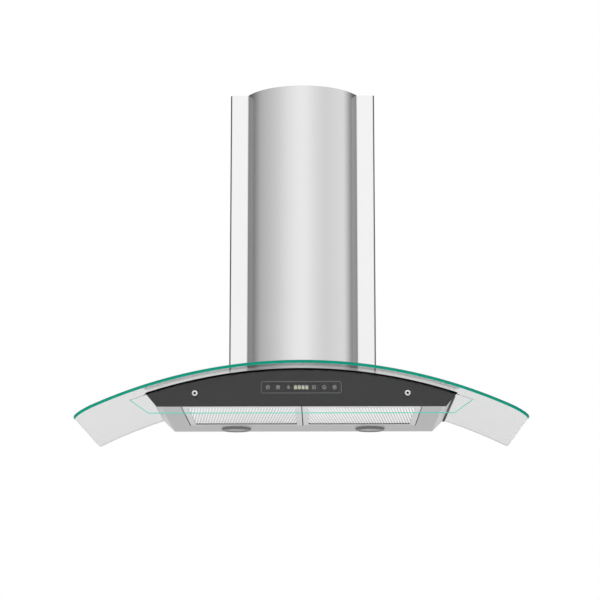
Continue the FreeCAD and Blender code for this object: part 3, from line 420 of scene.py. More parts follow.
panel_arch = under_canopy - PANEL_GAP
panel_outline = arched_outline(PANEL_BOTTOM_HALF, panel_low.z, panel_high.x, panel_arch)
screw_holes = [circle(side * SCREW_X, screw_z, SCREW_HOLE, 24) for side in SIDES.values()]
bm = bmesh.new()
plate(bm, [panel_outline] + screw_holes, -panel_high.y + PRINT_ROOM, -panel_low.y, PANEL_BEVEL, 1)
# The top edge's faces over the touch plate are coloured black, the rest of it pale.
for face in bm.faces:
    middle = face.calc_center_median()
    under_arch = arch_height(panel_arch, middle.x) - middle.z
    if face.material_index == 1 and under_arch < TOP_EDGE:
        face.material_index = 2 if abs(middle.x) < fascia_high.x else 3
front_glass = smeared("clear_front_glass", CLEAR_TINT, 0.0, 6.0, 0.004,
                      Transmission_Weight=1.0, IOR=1.4)
panel_edge = smeared("ground_green_edge", (0.0, 0.50, 0.37), 0.3, 60.0, 0.2,
                     Specular_IOR_Level=0.15)
edge_black = smeared("black_top_edge", (0.003, 0.003, 0.003), 0.4, 40.0, 0.3,
                     Specular_IOR_Level=0.0)
panel = new_piece("clear_front_panel", bm, [front_glass, panel_edge, edge_black, seamed_edge])
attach(panel, "root")
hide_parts("front_glass_panel")


# ---------------------------------------- black touch plate
# Sheet steel with black enamel behind the clear panel, whose upper edge stands bare between
# the panel and the canopy. A window in it shows the clock's digits, and the frame and the
# six touch symbols are printed on it in light grey. The print also glows as much as its own
# grey, which is painted light.

FASCIA_GAP = 0.0028
FASCIA_BOTTOM_HALF = 0.287
FASCIA_BEVEL = 0.0002
WINDOW_RISE = 0.0045
control_z = underside + 0.0301
display_low, display_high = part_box("display_module")
window_half = display_high.x - 0.001
black_enamel = smeared("black_enamel", (0.0045, 0.0045, 0.0048), 0.3, 14.0, 0.3,
                       Specular_IOR_Level=0.03)
fascia_outline = arched_outline(FASCIA_BOTTOM_HALF, fascia_low.z, fascia_high.x,
                                under_canopy - FASCIA_GAP)
window = rectangle(-window_half, control_z - WINDOW_RISE, window_half, control_z + WINDOW_RISE)
bm = bmesh.new()
plate(bm, [fascia_outline, window] + screw_holes, -fascia_high.y, -fascia_low.y, FASCIA_BEVEL)
touch_plate = new_piece("black_touch_plate", bm, [black_enamel])
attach(touch_plate, "root")
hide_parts("black_fascia")

PRINT_THICK = 0.00008
print_face = -fascia_low.y


def print_line(bm, points, width, closed=False, near=print_face, thick=PRINT_THICK):
    """Raises a printed line of constant width from the plate's face as a thin solid."""
    rows = []
    last = len(points) - 1
    for index, point in enumerate(points):
        before = points[index - 1] if closed or index > 0 else point
        after = points[(index + 1) % len(points)] if closed or index < last else point
        along = (after - before).normalized()
        across = Vector((-along.y, along.x)) * width / 2
        rows.append([bm.verts.new(stand(point + across * lean, near + rise))
                     for lean, rise in ((1, 0), (-1, 0), (-1, thick), (1, thick))])
    for here, there in list(zip(rows, rows[1:])) + ([(rows[-1], rows[0])] if closed else []):
        skin(bm, here, there)
    if not closed:
        bm.faces.new(rows[0])
        bm.faces.new(rows[-1][::-1])


FRAME_HALF = (0.0795, 0.0114)
FRAME_CORNER = 0.0045
FRAME_LINE = 0.0007
frame_points = []
for corner, (sx, sz) in enumerate(((1, -1), (1, 1), (-1, 1), (-1, -1))):
    frame_points += arc(sx * (FRAME_HALF[0] - FRAME_CORNER),
                        control_z + sz * (FRAME_HALF[1] - FRAME_CORNER),
                        FRAME_CORNER, 90 * corner - 90, 90 * corner, 6)
bm = bmesh.new()
print_line(bm, frame_points, FRAME_LINE, closed=True)
# Painted light: the grey print glows as strongly as its own colour.
print_grey_and_glow = smeared("printed_grey_painted_glow", (0.12, 0.125, 0.13), 0.4, 90.0, 0.2,
                     Emission_Strength=0.12, Emission_Color=(1.0, 1.0, 0.98, 1))
printed_frame = new_piece("printed_frame", bm, [print_grey_and_glow])
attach(printed_frame, "root")

KEY_FIRST = 0.0254
KEY_PITCH = 0.0204
LINE = 0.0005
OUTER_RING = (0.0035, 28)
INNER_RING = (0.0016, 20)


def key_symbol(bm, key, rings, lines=(), closed=False):
    """Prints rings and lines on a key; keys count outwards from the display, left below 0."""
    x = math.copysign(KEY_FIRST + (abs(key) - 1) * KEY_PITCH, key)
    for radius, steps in rings:
        print_line(bm, circle(x, control_z, radius, steps), LINE, closed=True)
    for line in lines:
        print_line(bm, [Vector(point) + Vector((x, control_z)) for point in line], LINE, closed)


def fan_blade(degrees):
    """One looped blade of the fan's symbol, from the hub and back towards it."""
    angle = math.radians(degrees)
    loop = arc(0.0018 * math.cos(angle), 0.0018 * math.sin(angle), 0.0013,
               degrees - 100, degrees + 100, 8)
    return [Vector((0, 0))] + loop


def crossed(reach, turn):
    """Two lines that cross at right angles."""
    for angle in (turn, turn + math.pi / 2):
        along = Vector((math.cos(angle), math.sin(angle))) * reach
        yield [-along, along]


CLOCK_HANDS = [[(-0.0016, 0.0018), (0, 0), (0.0018, -0.0012)]]
LIGHT_CONE = [[(0, -0.0020), (0.0014, 0.0012), (-0.0014, 0.0012)]]
bm = bmesh.new()
key_symbol(bm, -3, [OUTER_RING], CLOCK_HANDS)
key_symbol(bm, -2, [OUTER_RING], crossed(0.0024, math.pi / 4))
key_symbol(bm, -1, [], [fan_blade(degrees) for degrees in (90, 210, 330)])
key_symbol(bm, 1, [OUTER_RING], crossed(0.0016, 0))
key_symbol(bm, 2, [OUTER_RING], LIGHT_CONE, closed=True)
key_symbol(bm, 3, [OUTER_RING, INNER_RING])
# Painted light: the symbols' print glows as strongly as its own grey.
symbol_print_and_glow = smeared("printed_symbols_painted_glow", (0.36, 0.36, 0.36), 0.4, 90.0, 0.2,
                       Emission_Strength=0.36, Emission_Color=(1.0, 1.0, 0.97, 1))
symbols = new_piece("touch_symbols", bm, [symbol_print_and_glow])
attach(symbols, "root")


# ---------------------------------------- clock display
# Four seven-segment digits behind the plate's window, showing plain eights, with the
# lit segments on a dark filter.

DIGITS = 4
DIGIT_PITCH = 0.0074
DIGIT_HALF = 0.0021
DIGIT_RISE = 0.0031
SEGMENT = 0.0010
SEGMENT_GAP = 0.62
SEGMENT_THICK = 0.0003


def digit_strokes(x, z):
    """Centre lines of the seven segments of one digit, each drawn as a bar."""
    corners = {(sx, sz): Vector((x + sx * DIGIT_HALF, z + sz * DIGIT_RISE))
               for sx in (-1, 1) for sz in (-1, 0, 1)}
    spans = [((sx, sz), (sx, sz + 1)) for sx in (-1, 1) for sz in (-1, 0)]
    spans += [((-1, sz), (1, sz)) for sz in (-1, 0, 1)]
    for first, second in spans:
        along = (corners[second] - corners[first]).normalized() * SEGMENT * SEGMENT_GAP
        yield [corners[first] + along, corners[second] - along]


bm = bmesh.new()
for place in range(DIGITS):
    for points in digit_strokes((place - (DIGITS - 1) / 2) * DIGIT_PITCH, control_z):
        print_line(bm, points, SEGMENT, near=-display_low.y - SEGMENT_THICK, thick=SEGMENT_THICK)
lit_segment, tree, shader = new_material("lit_segments", Emission_Strength=0.85)
ramp = add_node(tree, "ShaderNodeValToRGB", {"Fac": noise(tree, object_coordinates(tree), 260.0)})
GLOW_COLOURS = ((0.42, (0.88, 0.90, 0.42, 1)), (0.58, (0.70, 0.76, 1.0, 1)))
for stop, (position, colour) in zip(ramp.color_ramp.elements, GLOW_COLOURS):
    stop.position = position
    stop.color = colour
for socket in ("Emission Color", "Base Color"):
    tree.links.new(ramp.outputs["Color"], shader.inputs[socket])
digits = new_piece("display_digits", bm, [lit_segment])
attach(digits, "root")
display_case = smeared("smoked_display", (0.02, 0.022, 0.025), 0.25, 60.0, 0.3, Coat_Weight=0.3)


# ---------------------------------------- front panel screws
# Two chromed screws with a rounded head and a socket painted dark as shade, turned on a
# lathe, each over a thin dark washer.

chrome = smeared("polished_chrome", (0.86, 0.86, 0.87), 0.07, 120.0, 0.12, Metallic=1.0)
# Painted shade: the screws' sockets and the latches' finger hollows get this near black.
recess_painted_shade = smeared("painted_shade_recess", (0.02, 0.02, 0.02), 0.6, 120.0, 0.3,
                      Specular_IOR_Level=0.1)
black_rubber = smeared("black_rubber", (0.012, 0.012, 0.012), 0.6, 60.0, 0.3)


def turn_profile(bm, profile, steps, lift, dark_rows=0):
    """Turns a closed profile of (radius, height) about the axis that lift() places."""
    rows = []
    for radius, height in profile:
        if radius < 1e-7:
            rows.append([bm.verts.new(lift(0, 0, height))] * steps)
        else:
            rows.append([bm.verts.new(lift(point.x, point.y, height))
                         for point in circle(0, 0, radius, steps)])
    for number, (before, after) in enumerate(zip(rows, rows[1:])):
        for k in range(steps):
            following = (k + 1) % steps
            corners = (before[k], before[following], after[following], after[k])
            corners = list(dict.fromkeys(corners))
            if len(corners) > 2:
                bm.faces.new(corners).material_index = int(number < dark_rows)


HEAD_STEPS = 40
HEAD_BASE = 0.0008
HEAD_ROUND = 0.0022
SHANK = 0.0025
SHANK_END = -0.019
head = [(0.0, HEAD_BASE), (0.0024, HEAD_BASE), (SHANK, HEAD_ROUND), (0.0028, 0.0030)]
head += [(0.0040 + HEAD_ROUND * math.sin(math.radians(angle)),
          HEAD_BASE + HEAD_ROUND * math.cos(math.radians(angle))) for angle in (0, 30, 50, 70, 90)]
head += [(0.0062, 0.0), (SHANK, 0.0), (SHANK, SHANK_END), (0.0, SHANK_END)]
washer = [(0.0064, 0.0), (0.0077, 0.0), (0.0077, 0.0005), (0.0074, 0.0007), (0.0064, 0.0007),
          (0.0064, 0.0)]
heads, rings = bmesh.new(), bmesh.new()
for side in SIDES.values():
    def on_panel(a, b, height, x=side * SCREW_X):
        return (x + a, panel_low.y - height, screw_z + b)
    # The socket's two rows of faces take the painted shade.
    turn_profile(heads, head, HEAD_STEPS, on_panel, dark_rows=2)
    turn_profile(rings, washer, HEAD_STEPS, on_panel)
screws = new_piece("chromed_screws", heads, [chrome, recess_painted_shade])
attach(screws, "root")
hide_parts("front_panel_screws")
washers = new_piece("screw_washers", rings, [black_rubber])
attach(washers, "root")


# ---------------------------------------- steel underside
# One brushed stainless sheet: the flat underside and both slanted side walls, folded with
# a small bend radius, and pressed out for the two filters and the two lamps.


def brushed_group():
    """Fine parallel scratches: values about 1 and a height, stretched by the mapping."""
    tree, given, result = new_group(
        "brushed_grain",
        [("Vector", "NodeSocketVector", (0, 0, 0)), ("Contrast", "NodeSocketFloat", 0.05)],
        ["Shade", "Roughness", "Height"])
    fine = noise(tree, given.outputs["Vector"], 1.0, 3.0, 0.7)
    swing = swing_shade(tree, fine, given.outputs["Contrast"], result.inputs["Shade"])
    tree.links.new(swing, result.inputs["Roughness"])
    tree.links.new(fine, result.inputs["Height"])
    return tree


brushed_grain = brushed_group()
SCRATCH_DEPTH = 0.0002


def brushed_steel(name, colour, roughness, stretch, contrast=0.04, bump=0.008):
    """Stainless steel brushed one way; stretch gives scratches per metre along X, Y and Z."""
    material, tree, shader = new_material(name, Metallic=1.0)
    sockets = {"Vector": object_coordinates(tree, stretch), "Contrast": contrast}
    grain = add_node(tree, "ShaderNodeGroup", sockets, node_tree=brushed_grain)
    smears = add_smears(tree, 5.0, 0.03)
    shade = maths(tree, "MULTIPLY", grain.outputs["Shade"], smears.outputs["Shade"])
    rough = maths(tree, "ADD", grain.outputs["Roughness"], roughness)
    rough = maths(tree, "ADD", rough, smears.outputs["Roughness"])
    raised = add_node(tree, "ShaderNodeBump", {"Strength": bump, "Distance": SCRATCH_DEPTH,
                                               "Height": grain.outputs["Height"]})
    tree.links.new(scaled(tree, colour, shade), shader.inputs["Base Color"])
    tree.links.new(rough, shader.inputs["Roughness"])
    tree.links.new(raised.outputs["Normal"], shader.inputs["Normal"])
    return material


body_steel = brushed_steel("brushed_body_steel", (0.80, 0.80, 0.80), 0.30, (14, 900, 900))
SHEET = 0.001
BEND = 0.0022
BEND_STEPS = 6
BODY_HALF = 0.2835
SIDE_RISE = 0.0215
BAY_HALF = 0.243
BAY_ROWS = (-0.400, -0.100)
LAMP_X = 0.1455
LAMP_Y = -0.049
LAMP_HOLE = 0.027
body_low, body_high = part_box("underside_panel")


def ring(bm, outline, level):
    """Corners of a plan outline at a height above the underside."""
    return [bm.verts.new((point.x, point.y, underside + level)) for point in outline]


def underside_mesh():
    bm = bmesh.new()
    wall_angle = math.atan2(SIDE_RISE, body_high.x - BODY_HALF)
    flat = BODY_HALF - BEND * math.tan(wall_angle / 2)
    rows = (body_low.y, body_high.y)
    outlines = [rectangle(-flat, rows[0], flat, rows[1]),
                rectangle(-BAY_HALF, BAY_ROWS[0], BAY_HALF, BAY_ROWS[1])]
    outlines += [circle(side * LAMP_X, LAMP_Y, LAMP_HOLE, 48) for side in SIDES.values()]
    rims = [[ring(bm, outline, level) for outline in outlines] for level in (0, SHEET)]
    for corners in rims:
        fill_flat(bm, outlines, sum(corners, []))
    for lower, upper in list(zip(*rims))[1:]:
        skin(bm, upper, lower)
    for side in SIDES.values():
        outer, inner = [], []
        for step in range(BEND_STEPS + 1):
            angle = wall_angle * step / BEND_STEPS
            for points, radius in ((outer, BEND), (inner, BEND - SHEET)):
                points.append((flat + radius * math.sin(angle), BEND - radius * math.cos(angle)))
        outer.append((body_high.x, SIDE_RISE))
        inner.append((body_high.x - SHEET * math.sin(wall_angle),
                      SIDE_RISE + SHEET * math.cos(wall_angle)))
        ends = [[bm.verts.new((side * x, y, underside + z)) for x, z in outer + inner[::-1]]
                for y in rows]
        skin(bm, ends[1], ends[0], closed=False)
        for end in ends:
            skin(bm, end[len(outer):][::-1], end[:len(outer)], closed=False)
    for row in rows:
        bm.faces.new([bm.verts.new((point.x, row, point.y))
                      for point in rectangle(-flat, underside, flat, underside + SHEET)])
    return bm


underside_piece = new_piece("folded_underside", underside_mesh(), [body_steel], sharp=25)
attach(underside_piece, "root")
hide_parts("underside_panel")


# ---------------------------------------- glass seals
# Black rubber strips between the side walls and the canopy. The right one's lip stands a
# few millimetres out beyond the wall, where the left one's is tucked in.

SEAL_LIP = {"left": 0.0, "right": 0.0042}
LIP_DROP = 0.3
LIP_ROUND = 0.0006
SEAL_ROUND = 0.0004
SEAL_SETBACK = 0.07
GLASS_ROOM = 0.0001
for name, side in SIDES.items():
    low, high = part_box(f"{name}_glass_seal")
    inner, outer = sorted((abs(low.x), abs(high.x)))
    tip = outer + SEAL_LIP[name]
    lip = low.z - SEAL_LIP[name] * LIP_DROP
    section = [(inner, low.z + SEAL_ROUND), (inner + SEAL_ROUND, low.z), (tip - LIP_ROUND, lip),
               (tip, lip + LIP_ROUND), (tip, arch_height(under_canopy, tip) - GLASS_ROOM),
               (inner, arch_height(under_canopy, inner) - GLASS_ROOM)]
    bm = bmesh.new()
    ends = [[bm.verts.new((side * x, y, z)) for x, z in section]
            for y in (low.y + SEAL_SETBACK, high.y)]
    skin(bm, ends[1], ends[0])
    for end in ends:
        bm.faces.new(end)
    piece = new_piece(f"{name}_seal_strip", bm, [black_rubber])
    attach(piece, "root")
    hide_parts(f"{name}_glass_seal")


# ---------------------------------------- grease filter frames
# Each is a satin aluminium frame with a wide front rail, drawn mesh behind its window and
# a pocket in the front rail for the latch.

FILTER_ROWS = (-0.399, -0.101)
FILTER_THICK = 0.009
FILTER_BEVEL = 0.0008
RAILS = {"side": 0.0115, "front": 0.030, "rear": 0.020}
LATCH_HALF = 0.0363
LATCH_ROWS = (-0.3933, -0.3707)
POCKET = 0.0031
filter_aluminium = smeared("satin_aluminium", (0.66, 0.66, 0.665), 0.34, 30.0, 0.12, Metallic=0.35)
# Painted shadow: the window's rear inner wall is coloured near black for the shadow behind the
# mesh's rear end.
mesh_shadow = smeared("painted_shadow_window_wall", (0.06, 0.06, 0.06), 0.7, 400.0, 0.8,
                      Specular_IOR_Level=0.1)


def filter_frame_mesh(low, high):
    bm = bmesh.new()
    centre = (low.x + high.x) / 2
    front, rear = FILTER_ROWS
    outer = rectangle(low.x, front, high.x, rear)
    window = rectangle(low.x + RAILS["side"], front + RAILS["front"],
                       high.x - RAILS["side"], rear - RAILS["rear"])
    pocket = rectangle(centre - LATCH_HALF, LATCH_ROWS[0], centre + LATCH_HALF, LATCH_ROWS[1])
    rounding = 0.3 * FILTER_BEVEL
    profile = ((FILTER_BEVEL, 0.0), (rounding, rounding), (0, FILTER_BEVEL),
               (0, FILTER_THICK - FILTER_BEVEL), (FILTER_BEVEL, FILTER_THICK))
    flats, lower, upper = [], [], []
    for sign, outline in ((1, outer), (-1, window)):
        rims = [ring(bm, inset_outline(outline, sign * inset), level) for inset, level in profile]
        for before, after in zip(rims, rims[1:]):
            strip = skin(bm, after, before)
            # The rear inner wall takes the painted shadow.
            if outline is window:
                strip[2].material_index = 1
        flats.append(inset_outline(outline, sign * FILTER_BEVEL))
        lower += rims[0]
        upper += rims[-1]
    mouth, floor = ring(bm, pocket, 0), ring(bm, pocket, POCKET)
    fill_flat(bm, flats + [pocket], lower + mouth)
    fill_flat(bm, flats, upper)
    skin(bm, floor, mouth)
    bm.faces.new(floor)
    return bm


for name in SIDES:
    low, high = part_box(f"{name}_filter_frame")
    piece = new_piece(f"{name}_filter_rim", filter_frame_mesh(low, high),
                      [filter_aluminium, mesh_shadow])
    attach(piece, f"{name}_filter")
    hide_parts(f"{name}_filter_frame")


# ---------------------------------------- expanded mesh
# Aluminium foil slit and stretched into long diamonds. Each strand stands a little on edge,
# which makes the fine slanting lines; the layer behind is pleated foil.

MESH_CELL = (0.0059, 0.062)
STRAND_WIDTHS = (0.0030, 0.0005)
STRAND_TILT = 0.0003
STRAND_THICK = 0.0002
PLEAT = 0.0004
FOIL_BACK = 0.0002
FOIL_THICK = 0.0001


def mesh_tree(material):
    """Lays one small crossing of two strands on every point of a grid."""
    tree = bpy.data.node_groups.new("expanded_mesh", "GeometryNodeTree")
    kinds = {"Geometry": "Geometry", "Width": "Float", "Depth": "Float", "Columns": "Int",
             "Rows": "Int", "Strand": "Float", "Centre": "Vector"}
    for label, kind in kinds.items():
        tree.interface.new_socket(label, in_out="INPUT", socket_type=f"NodeSocket{kind}")
    tree.interface.new_socket("Geometry", in_out="OUTPUT", socket_type="NodeSocketGeometry")
    given = tree.nodes.new("NodeGroupInput").outputs
    grid = add_node(tree, "GeometryNodeMeshGrid", {
        "Size X": given["Width"], "Size Y": given["Depth"],
        "Vertices X": given["Columns"], "Vertices Y": given["Rows"]})
    placed = add_node(tree, "GeometryNodeTransform", {
        "Geometry": grid.outputs["Mesh"], "Translation": given["Centre"]})
    size = add_node(tree, "ShaderNodeCombineXYZ", {
        "X": given["Strand"], "Y": given["Strand"], "Z": 1.0})
    copies = add_node(tree, "GeometryNodeInstanceOnPoints", {
        "Points": placed.outputs["Geometry"], "Instance": given["Geometry"],
        "Scale": size.outputs[0]})
    real = add_node(tree, "GeometryNodeRealizeInstances", {"Geometry": copies.outputs[0]})
    painted = add_node(tree, "GeometryNodeSetMaterial", {
        "Geometry": real.outputs["Geometry"], "Material": material})
    add_node(tree, "NodeGroupOutput", {"Geometry": painted.outputs["Geometry"]})
    return tree


def crossing_mesh(step_x, step_y, side):
    """Two short strands that cross, from corner to corner of one cell of the mesh."""
    bm = bmesh.new()
    for slant, width in zip((-side, side), STRAND_WIDTHS):
        along = Vector((step_x / 2, -slant * step_y / 2))
        across = Vector((-along.y, along.x)).normalized() * width / 2
        tilt = STRAND_TILT * slant
        corners = ((-1, -tilt), (1, tilt), (1, tilt + STRAND_THICK), (-1, -tilt + STRAND_THICK))
        rows = [[bm.verts.new((*(along * end + across * lean), level)) for lean, level in corners]
                for end in (-1, 1)]
        skin(bm, *rows)
        bm.faces.new(rows[0][::-1])
        bm.faces.new(rows[1])
    return new_mesh("crossing", bm, [mesh_aluminium])


def grown(tree, source, name, values):
    """Runs a tree on a source mesh and keeps the result as a plain mesh in a new object."""
    carrier = add_object(f"{name}_source", source)
    modifier = carrier.modifiers.new("growth", "NODES")
    modifier.node_group = tree
    for item in tree.interface.items_tree:
        if item.item_type == "SOCKET" and item.in_out == "INPUT" and item.name in values:
            modifier[item.identifier] = values[item.name]
    evaluated = carrier.evaluated_get(bpy.context.evaluated_depsgraph_get())
    mesh = bpy.data.meshes.new_from_object(evaluated)
    mesh.name = name
    carrier.modifiers.remove(modifier)
    bpy.data.objects.remove(carrier)
    return add_object(name, mesh)


def pleated_foil(low, high, pleats):
    """A thin sheet with sharp pleats that run from front to rear."""
    bm = bmesh.new()
    rows = []
    for k in range(2 * pleats + 1):
        x = low.x + (high.x - low.x) * k / (2 * pleats)
        level = high.z - FOIL_BACK - (PLEAT if k % 2 else 0.0)
        rows.append([bm.verts.new((x, y, level + lift)) for y, lift in (
            (low.y, 0), (high.y, 0), (high.y, FOIL_THICK), (low.y, FOIL_THICK))])
    for here, there in zip(rows, rows[1:]):
        skin(bm, here, there)
    bm.faces.new(rows[0])
    bm.faces.new(rows[-1])
    return bm


mesh_aluminium = smeared("mesh_aluminium", (0.96, 0.96, 0.96), 0.4, 80.0, 0.12, Metallic=0.1)
# Painted shade: the pleated foil behind is a darker copy of the mesh's aluminium, for the shade
# between the layers.
foil_aluminium_painted_shade = smeared("foil_aluminium_painted_shade", (0.52, 0.52, 0.525), 0.45, 25.0, 0.45, Metallic=0.1)
growth = mesh_tree(mesh_aluminium)
for name, side in SIDES.items():
    low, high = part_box(f"{name}_filter_mesh")
    width, depth = high.x - low.x, high.y - low.y
    columns = round(width / MESH_CELL[0])
    rows = round(depth / MESH_CELL[1])
    source = crossing_mesh(width / columns, depth / rows, side)
    centre = ((low.x + high.x) / 2, (low.y + high.y) / 2, low.z + STRAND_TILT)
    piece = grown(growth, source, f"{name}_expanded_mesh",
                  {"Width": width - width / columns, "Depth": depth - depth / rows,
                   "Columns": columns, "Rows": rows, "Strand": 1.0, "Centre": centre})
    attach(piece, f"{name}_filter")
    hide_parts(f"{name}_filter_mesh")
    foil = pleated_foil(low, high, columns)
    piece = new_piece(f"{name}_pleated_foil", foil, [foil_aluminium_painted_shade], sharp=5)
    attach(piece, f"{name}_filter")


# ---------------------------------------- filter latches
# A moulded light grey slide in each filter's front rail; its finger hollow is painted dark as
# shade.

LATCH_X = 0.12125
SLIDE_HALF = 0.036
SLIDE_ROWS = (-0.393, -0.377)
SLIDE_BEVEL = 0.0005
SLIDE_THICK = 0.0028
HOLLOW_HALF = 0.016
HOLLOW_RIM = 0.003
HOLLOW_DEPTH = 0.002
HOLLOW_SLOPE = 0.0012
TONGUE_HALF = 0.008
TONGUE_REACH = 0.0095
TONGUE_LEVEL = 0.0014
latch_grey = smeared("light_grey_plastic", (0.60, 0.61, 0.61), 0.42, 70.0, 0.12)


def latch_mesh(centre):
    bm = bmesh.new()
    front, rear = SLIDE_ROWS
    outer = rectangle(centre - SLIDE_HALF, front, centre + SLIDE_HALF, rear)
    mouth = rectangle(centre - HOLLOW_HALF, front + HOLLOW_RIM,
                      centre + HOLLOW_HALF, rear - HOLLOW_RIM)
    drawn = inset_outline(outer, SLIDE_BEVEL)
    low_rim, side_rim = ring(bm, drawn, 0), ring(bm, outer, SLIDE_BEVEL)
    top_rim, lip = ring(bm, outer, SLIDE_THICK), ring(bm, mouth, 0)
    hollow = ring(bm, inset_outline(mouth, HOLLOW_SLOPE), HOLLOW_DEPTH)
    for before, after in ((low_rim, side_rim), (side_rim, top_rim), (lip, hollow)):
        skin(bm, after, before)
    bm.faces.new(top_rim)
    # The hollow's floor takes the painted shade.
    bm.faces.new(hollow).material_index = 1
    fill_flat(bm, [drawn, mouth], low_rim + lip)
    tongue = rectangle(centre - TONGUE_HALF, front - TONGUE_REACH, centre + TONGUE_HALF, front)
    ends = [ring(bm, tongue, level) for level in (TONGUE_LEVEL, SLIDE_THICK)]
    skin(bm, ends[1], ends[0])
    for end in ends:
        bm.faces.new(end)
    return bm


for name, side in SIDES.items():
    piece = new_piece(f"{name}_latch_slide", latch_mesh(side * LATCH_X), [latch_grey, recess_painted_shade])
    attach(piece, f"{name}_latch")
    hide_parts(f"{name}_filter_latch")


# ---------------------------------------- lamps
# A turned steel bezel with a rolled edge, clipped through the underside, and a frosted
# cover set a little way into it.

LAMP_STEPS = 64
LAMP_DROP = 0.0045
LENS_RADIUS = 0.0245
BEZEL_RADIUS = 0.032
BEAD = 0.0016
ROLL = 0.0035
DOME_FACE = -0.0036
DOME_RISE = 0.0008
DOME_BACK = -0.0006
bezel_steel = brushed_steel("turned_bezel_steel", (0.30, 0.30, 0.30), 0.28, (500, 500, 60))
frosted = smeared("frosted_cover", (0.34, 0.34, 0.335), 0.5, 60.0, 0.1,
                  Coat_Weight=0.3, Coat_Roughness=0.2)
bezel = [(LENS_RADIUS, 0.0), (LENS_RADIUS, -LAMP_DROP + BEAD)]
bezel += [(LENS_RADIUS + BEAD - BEAD * math.cos(math.radians(angle)),
           -LAMP_DROP + BEAD - BEAD * math.sin(math.radians(angle))) for angle in (30, 60, 90)]
bezel += [(BEZEL_RADIUS - ROLL + ROLL * math.sin(math.radians(angle)),
           ROLL - LAMP_DROP - ROLL * math.cos(math.radians(angle)))
          for angle in (0, 20, 40, 60, 80, 90)]
bezel += [(BEZEL_RADIUS, 0.0), (LENS_RADIUS, 0.0)]
dome = [(LENS_RADIUS * part, DOME_FACE + DOME_RISE * part ** 2)
        for part in (0, 0.2, 0.4, 0.6, 0.8, 0.99)]
dome += [(LENS_RADIUS * 0.99, DOME_BACK), (0.0, DOME_BACK)]
bezels, covers = bmesh.new(), bmesh.new()
for side in SIDES.values():
    def in_lamp(a, b, height, x=side * LAMP_X):
        return (x + a, LAMP_Y + b, underside + height)
    turn_profile(bezels, bezel, LAMP_STEPS, in_lamp)
    turn_profile(covers, dome, LAMP_STEPS, in_lamp)
for name, bm, material, node, slot in (
        ("lamp_rings", bezels, bezel_steel, "lamp_bezels", "brushed_steel"),
        ("lamp_covers", covers, frosted, "lamp_lenses", "frosted_cover")):
    piece = new_piece(name, bm, [material])
    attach(piece, "root")
    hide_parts(node)


# ---------------------------------------- chimney covers
# Two folded covers of brushed stainless steel, one inside the other: flat wings by the
# wall and a rounded front between them, each folded with a small bend radius.

ALONG_Z = (900, 900, 10)
chimney_steel = brushed_steel("brushed_chimney_steel", (0.82, 0.82, 0.82), 0.22, ALONG_Z)
# Painted light: the flat wings get a lighter copy of the chimney's steel.
wing_steel_painted_light = brushed_steel("painted_light_wing_steel", (0.95, 0.95, 0.95), 0.3, ALONG_Z)
# Painted shade: the front folds at the outer edges get a darker copy of the same steel.
fold_steel_painted_shade = brushed_steel("painted_shade_fold_steel", (0.20, 0.20, 0.20), 0.4, ALONG_Z)


def paint_shade_towards(material, start, end, least):
    """Paints shade into a brushed finish: darker from one distance off the middle to another."""
    tree = material.node_tree
    colour = tree.nodes["Principled BSDF"].inputs["Base Color"]
    place = add_node(tree, "ShaderNodeSeparateXYZ", {0: object_coordinates(tree)})
    fade = add_node(tree, "ShaderNodeMapRange", {
        "Value": maths(tree, "ABSOLUTE", place.outputs["X"]), "From Min": start,
        "From Max": end, "To Min": 1.0, "To Max": least}, interpolation_type="SMOOTHSTEP")
    painted_darker = scaled(tree, colour.links[0].from_socket, fade.outputs["Result"])
    tree.links.new(painted_darker, colour)


# Painted shade: the chimney's steel is painted darker from partway across the bulge out to its
# shoulders and beyond.
paint_shade_towards(chimney_steel, 0.086, 0.1165, 0.42)
CHIMNEY_HALF = 0.156
WING_Y = -0.190
FLANGE = 0.016
FOLD = 0.004
FOLD_STEPS = 6
BULGE_HALF = 0.1175
BULGE_DEPTH = 0.075
BULGE_STEPS = 40
SHOULDER_GAP = 0.0015
SHOULDER_DROP = 0.0006
SHOULDER_LEAN = (0.4, -0.9)
bulge_radius = (BULGE_HALF ** 2 + BULGE_DEPTH ** 2) / (2 * BULGE_DEPTH)


def chimney_plan(inset):
    """Plan of half a cover from the wall flange to the middle, with each point's normal."""
    half = CHIMNEY_HALF - inset
    wing = WING_Y + inset
    radius = bulge_radius - inset
    centre = WING_Y - BULGE_DEPTH + bulge_radius
    plan = [(Vector((half - FLANGE, -inset)), Vector((0, 1)))]
    for corner_y, start in ((-inset - FOLD, 90), (wing + FOLD, 0)):
        for step in range(FOLD_STEPS + 1):
            angle = math.radians(start - 90 * step / FOLD_STEPS)
            normal = Vector((math.cos(angle), math.sin(angle)))
            plan.append((Vector((half - FOLD, corner_y)) + FOLD * normal, normal))
    reach = math.asin((centre - wing) / radius)
    shoulder = radius * math.cos(reach)
    leaning = Vector((math.cos(reach) * SHOULDER_LEAN[0], SHOULDER_LEAN[1])).normalized()
    plan.append((Vector((shoulder + SHOULDER_GAP, wing)), Vector((0, -1))))
    plan.append((Vector((shoulder, wing - SHOULDER_DROP)), leaning))
    for step in range(1, BULGE_STEPS + 1):
        angle = -reach - (math.pi / 2 - reach) * step / BULGE_STEPS
        normal = Vector((math.cos(angle), math.sin(angle)))
        plan.append((Vector((0, centre)) + radius * normal, normal))
    return plan


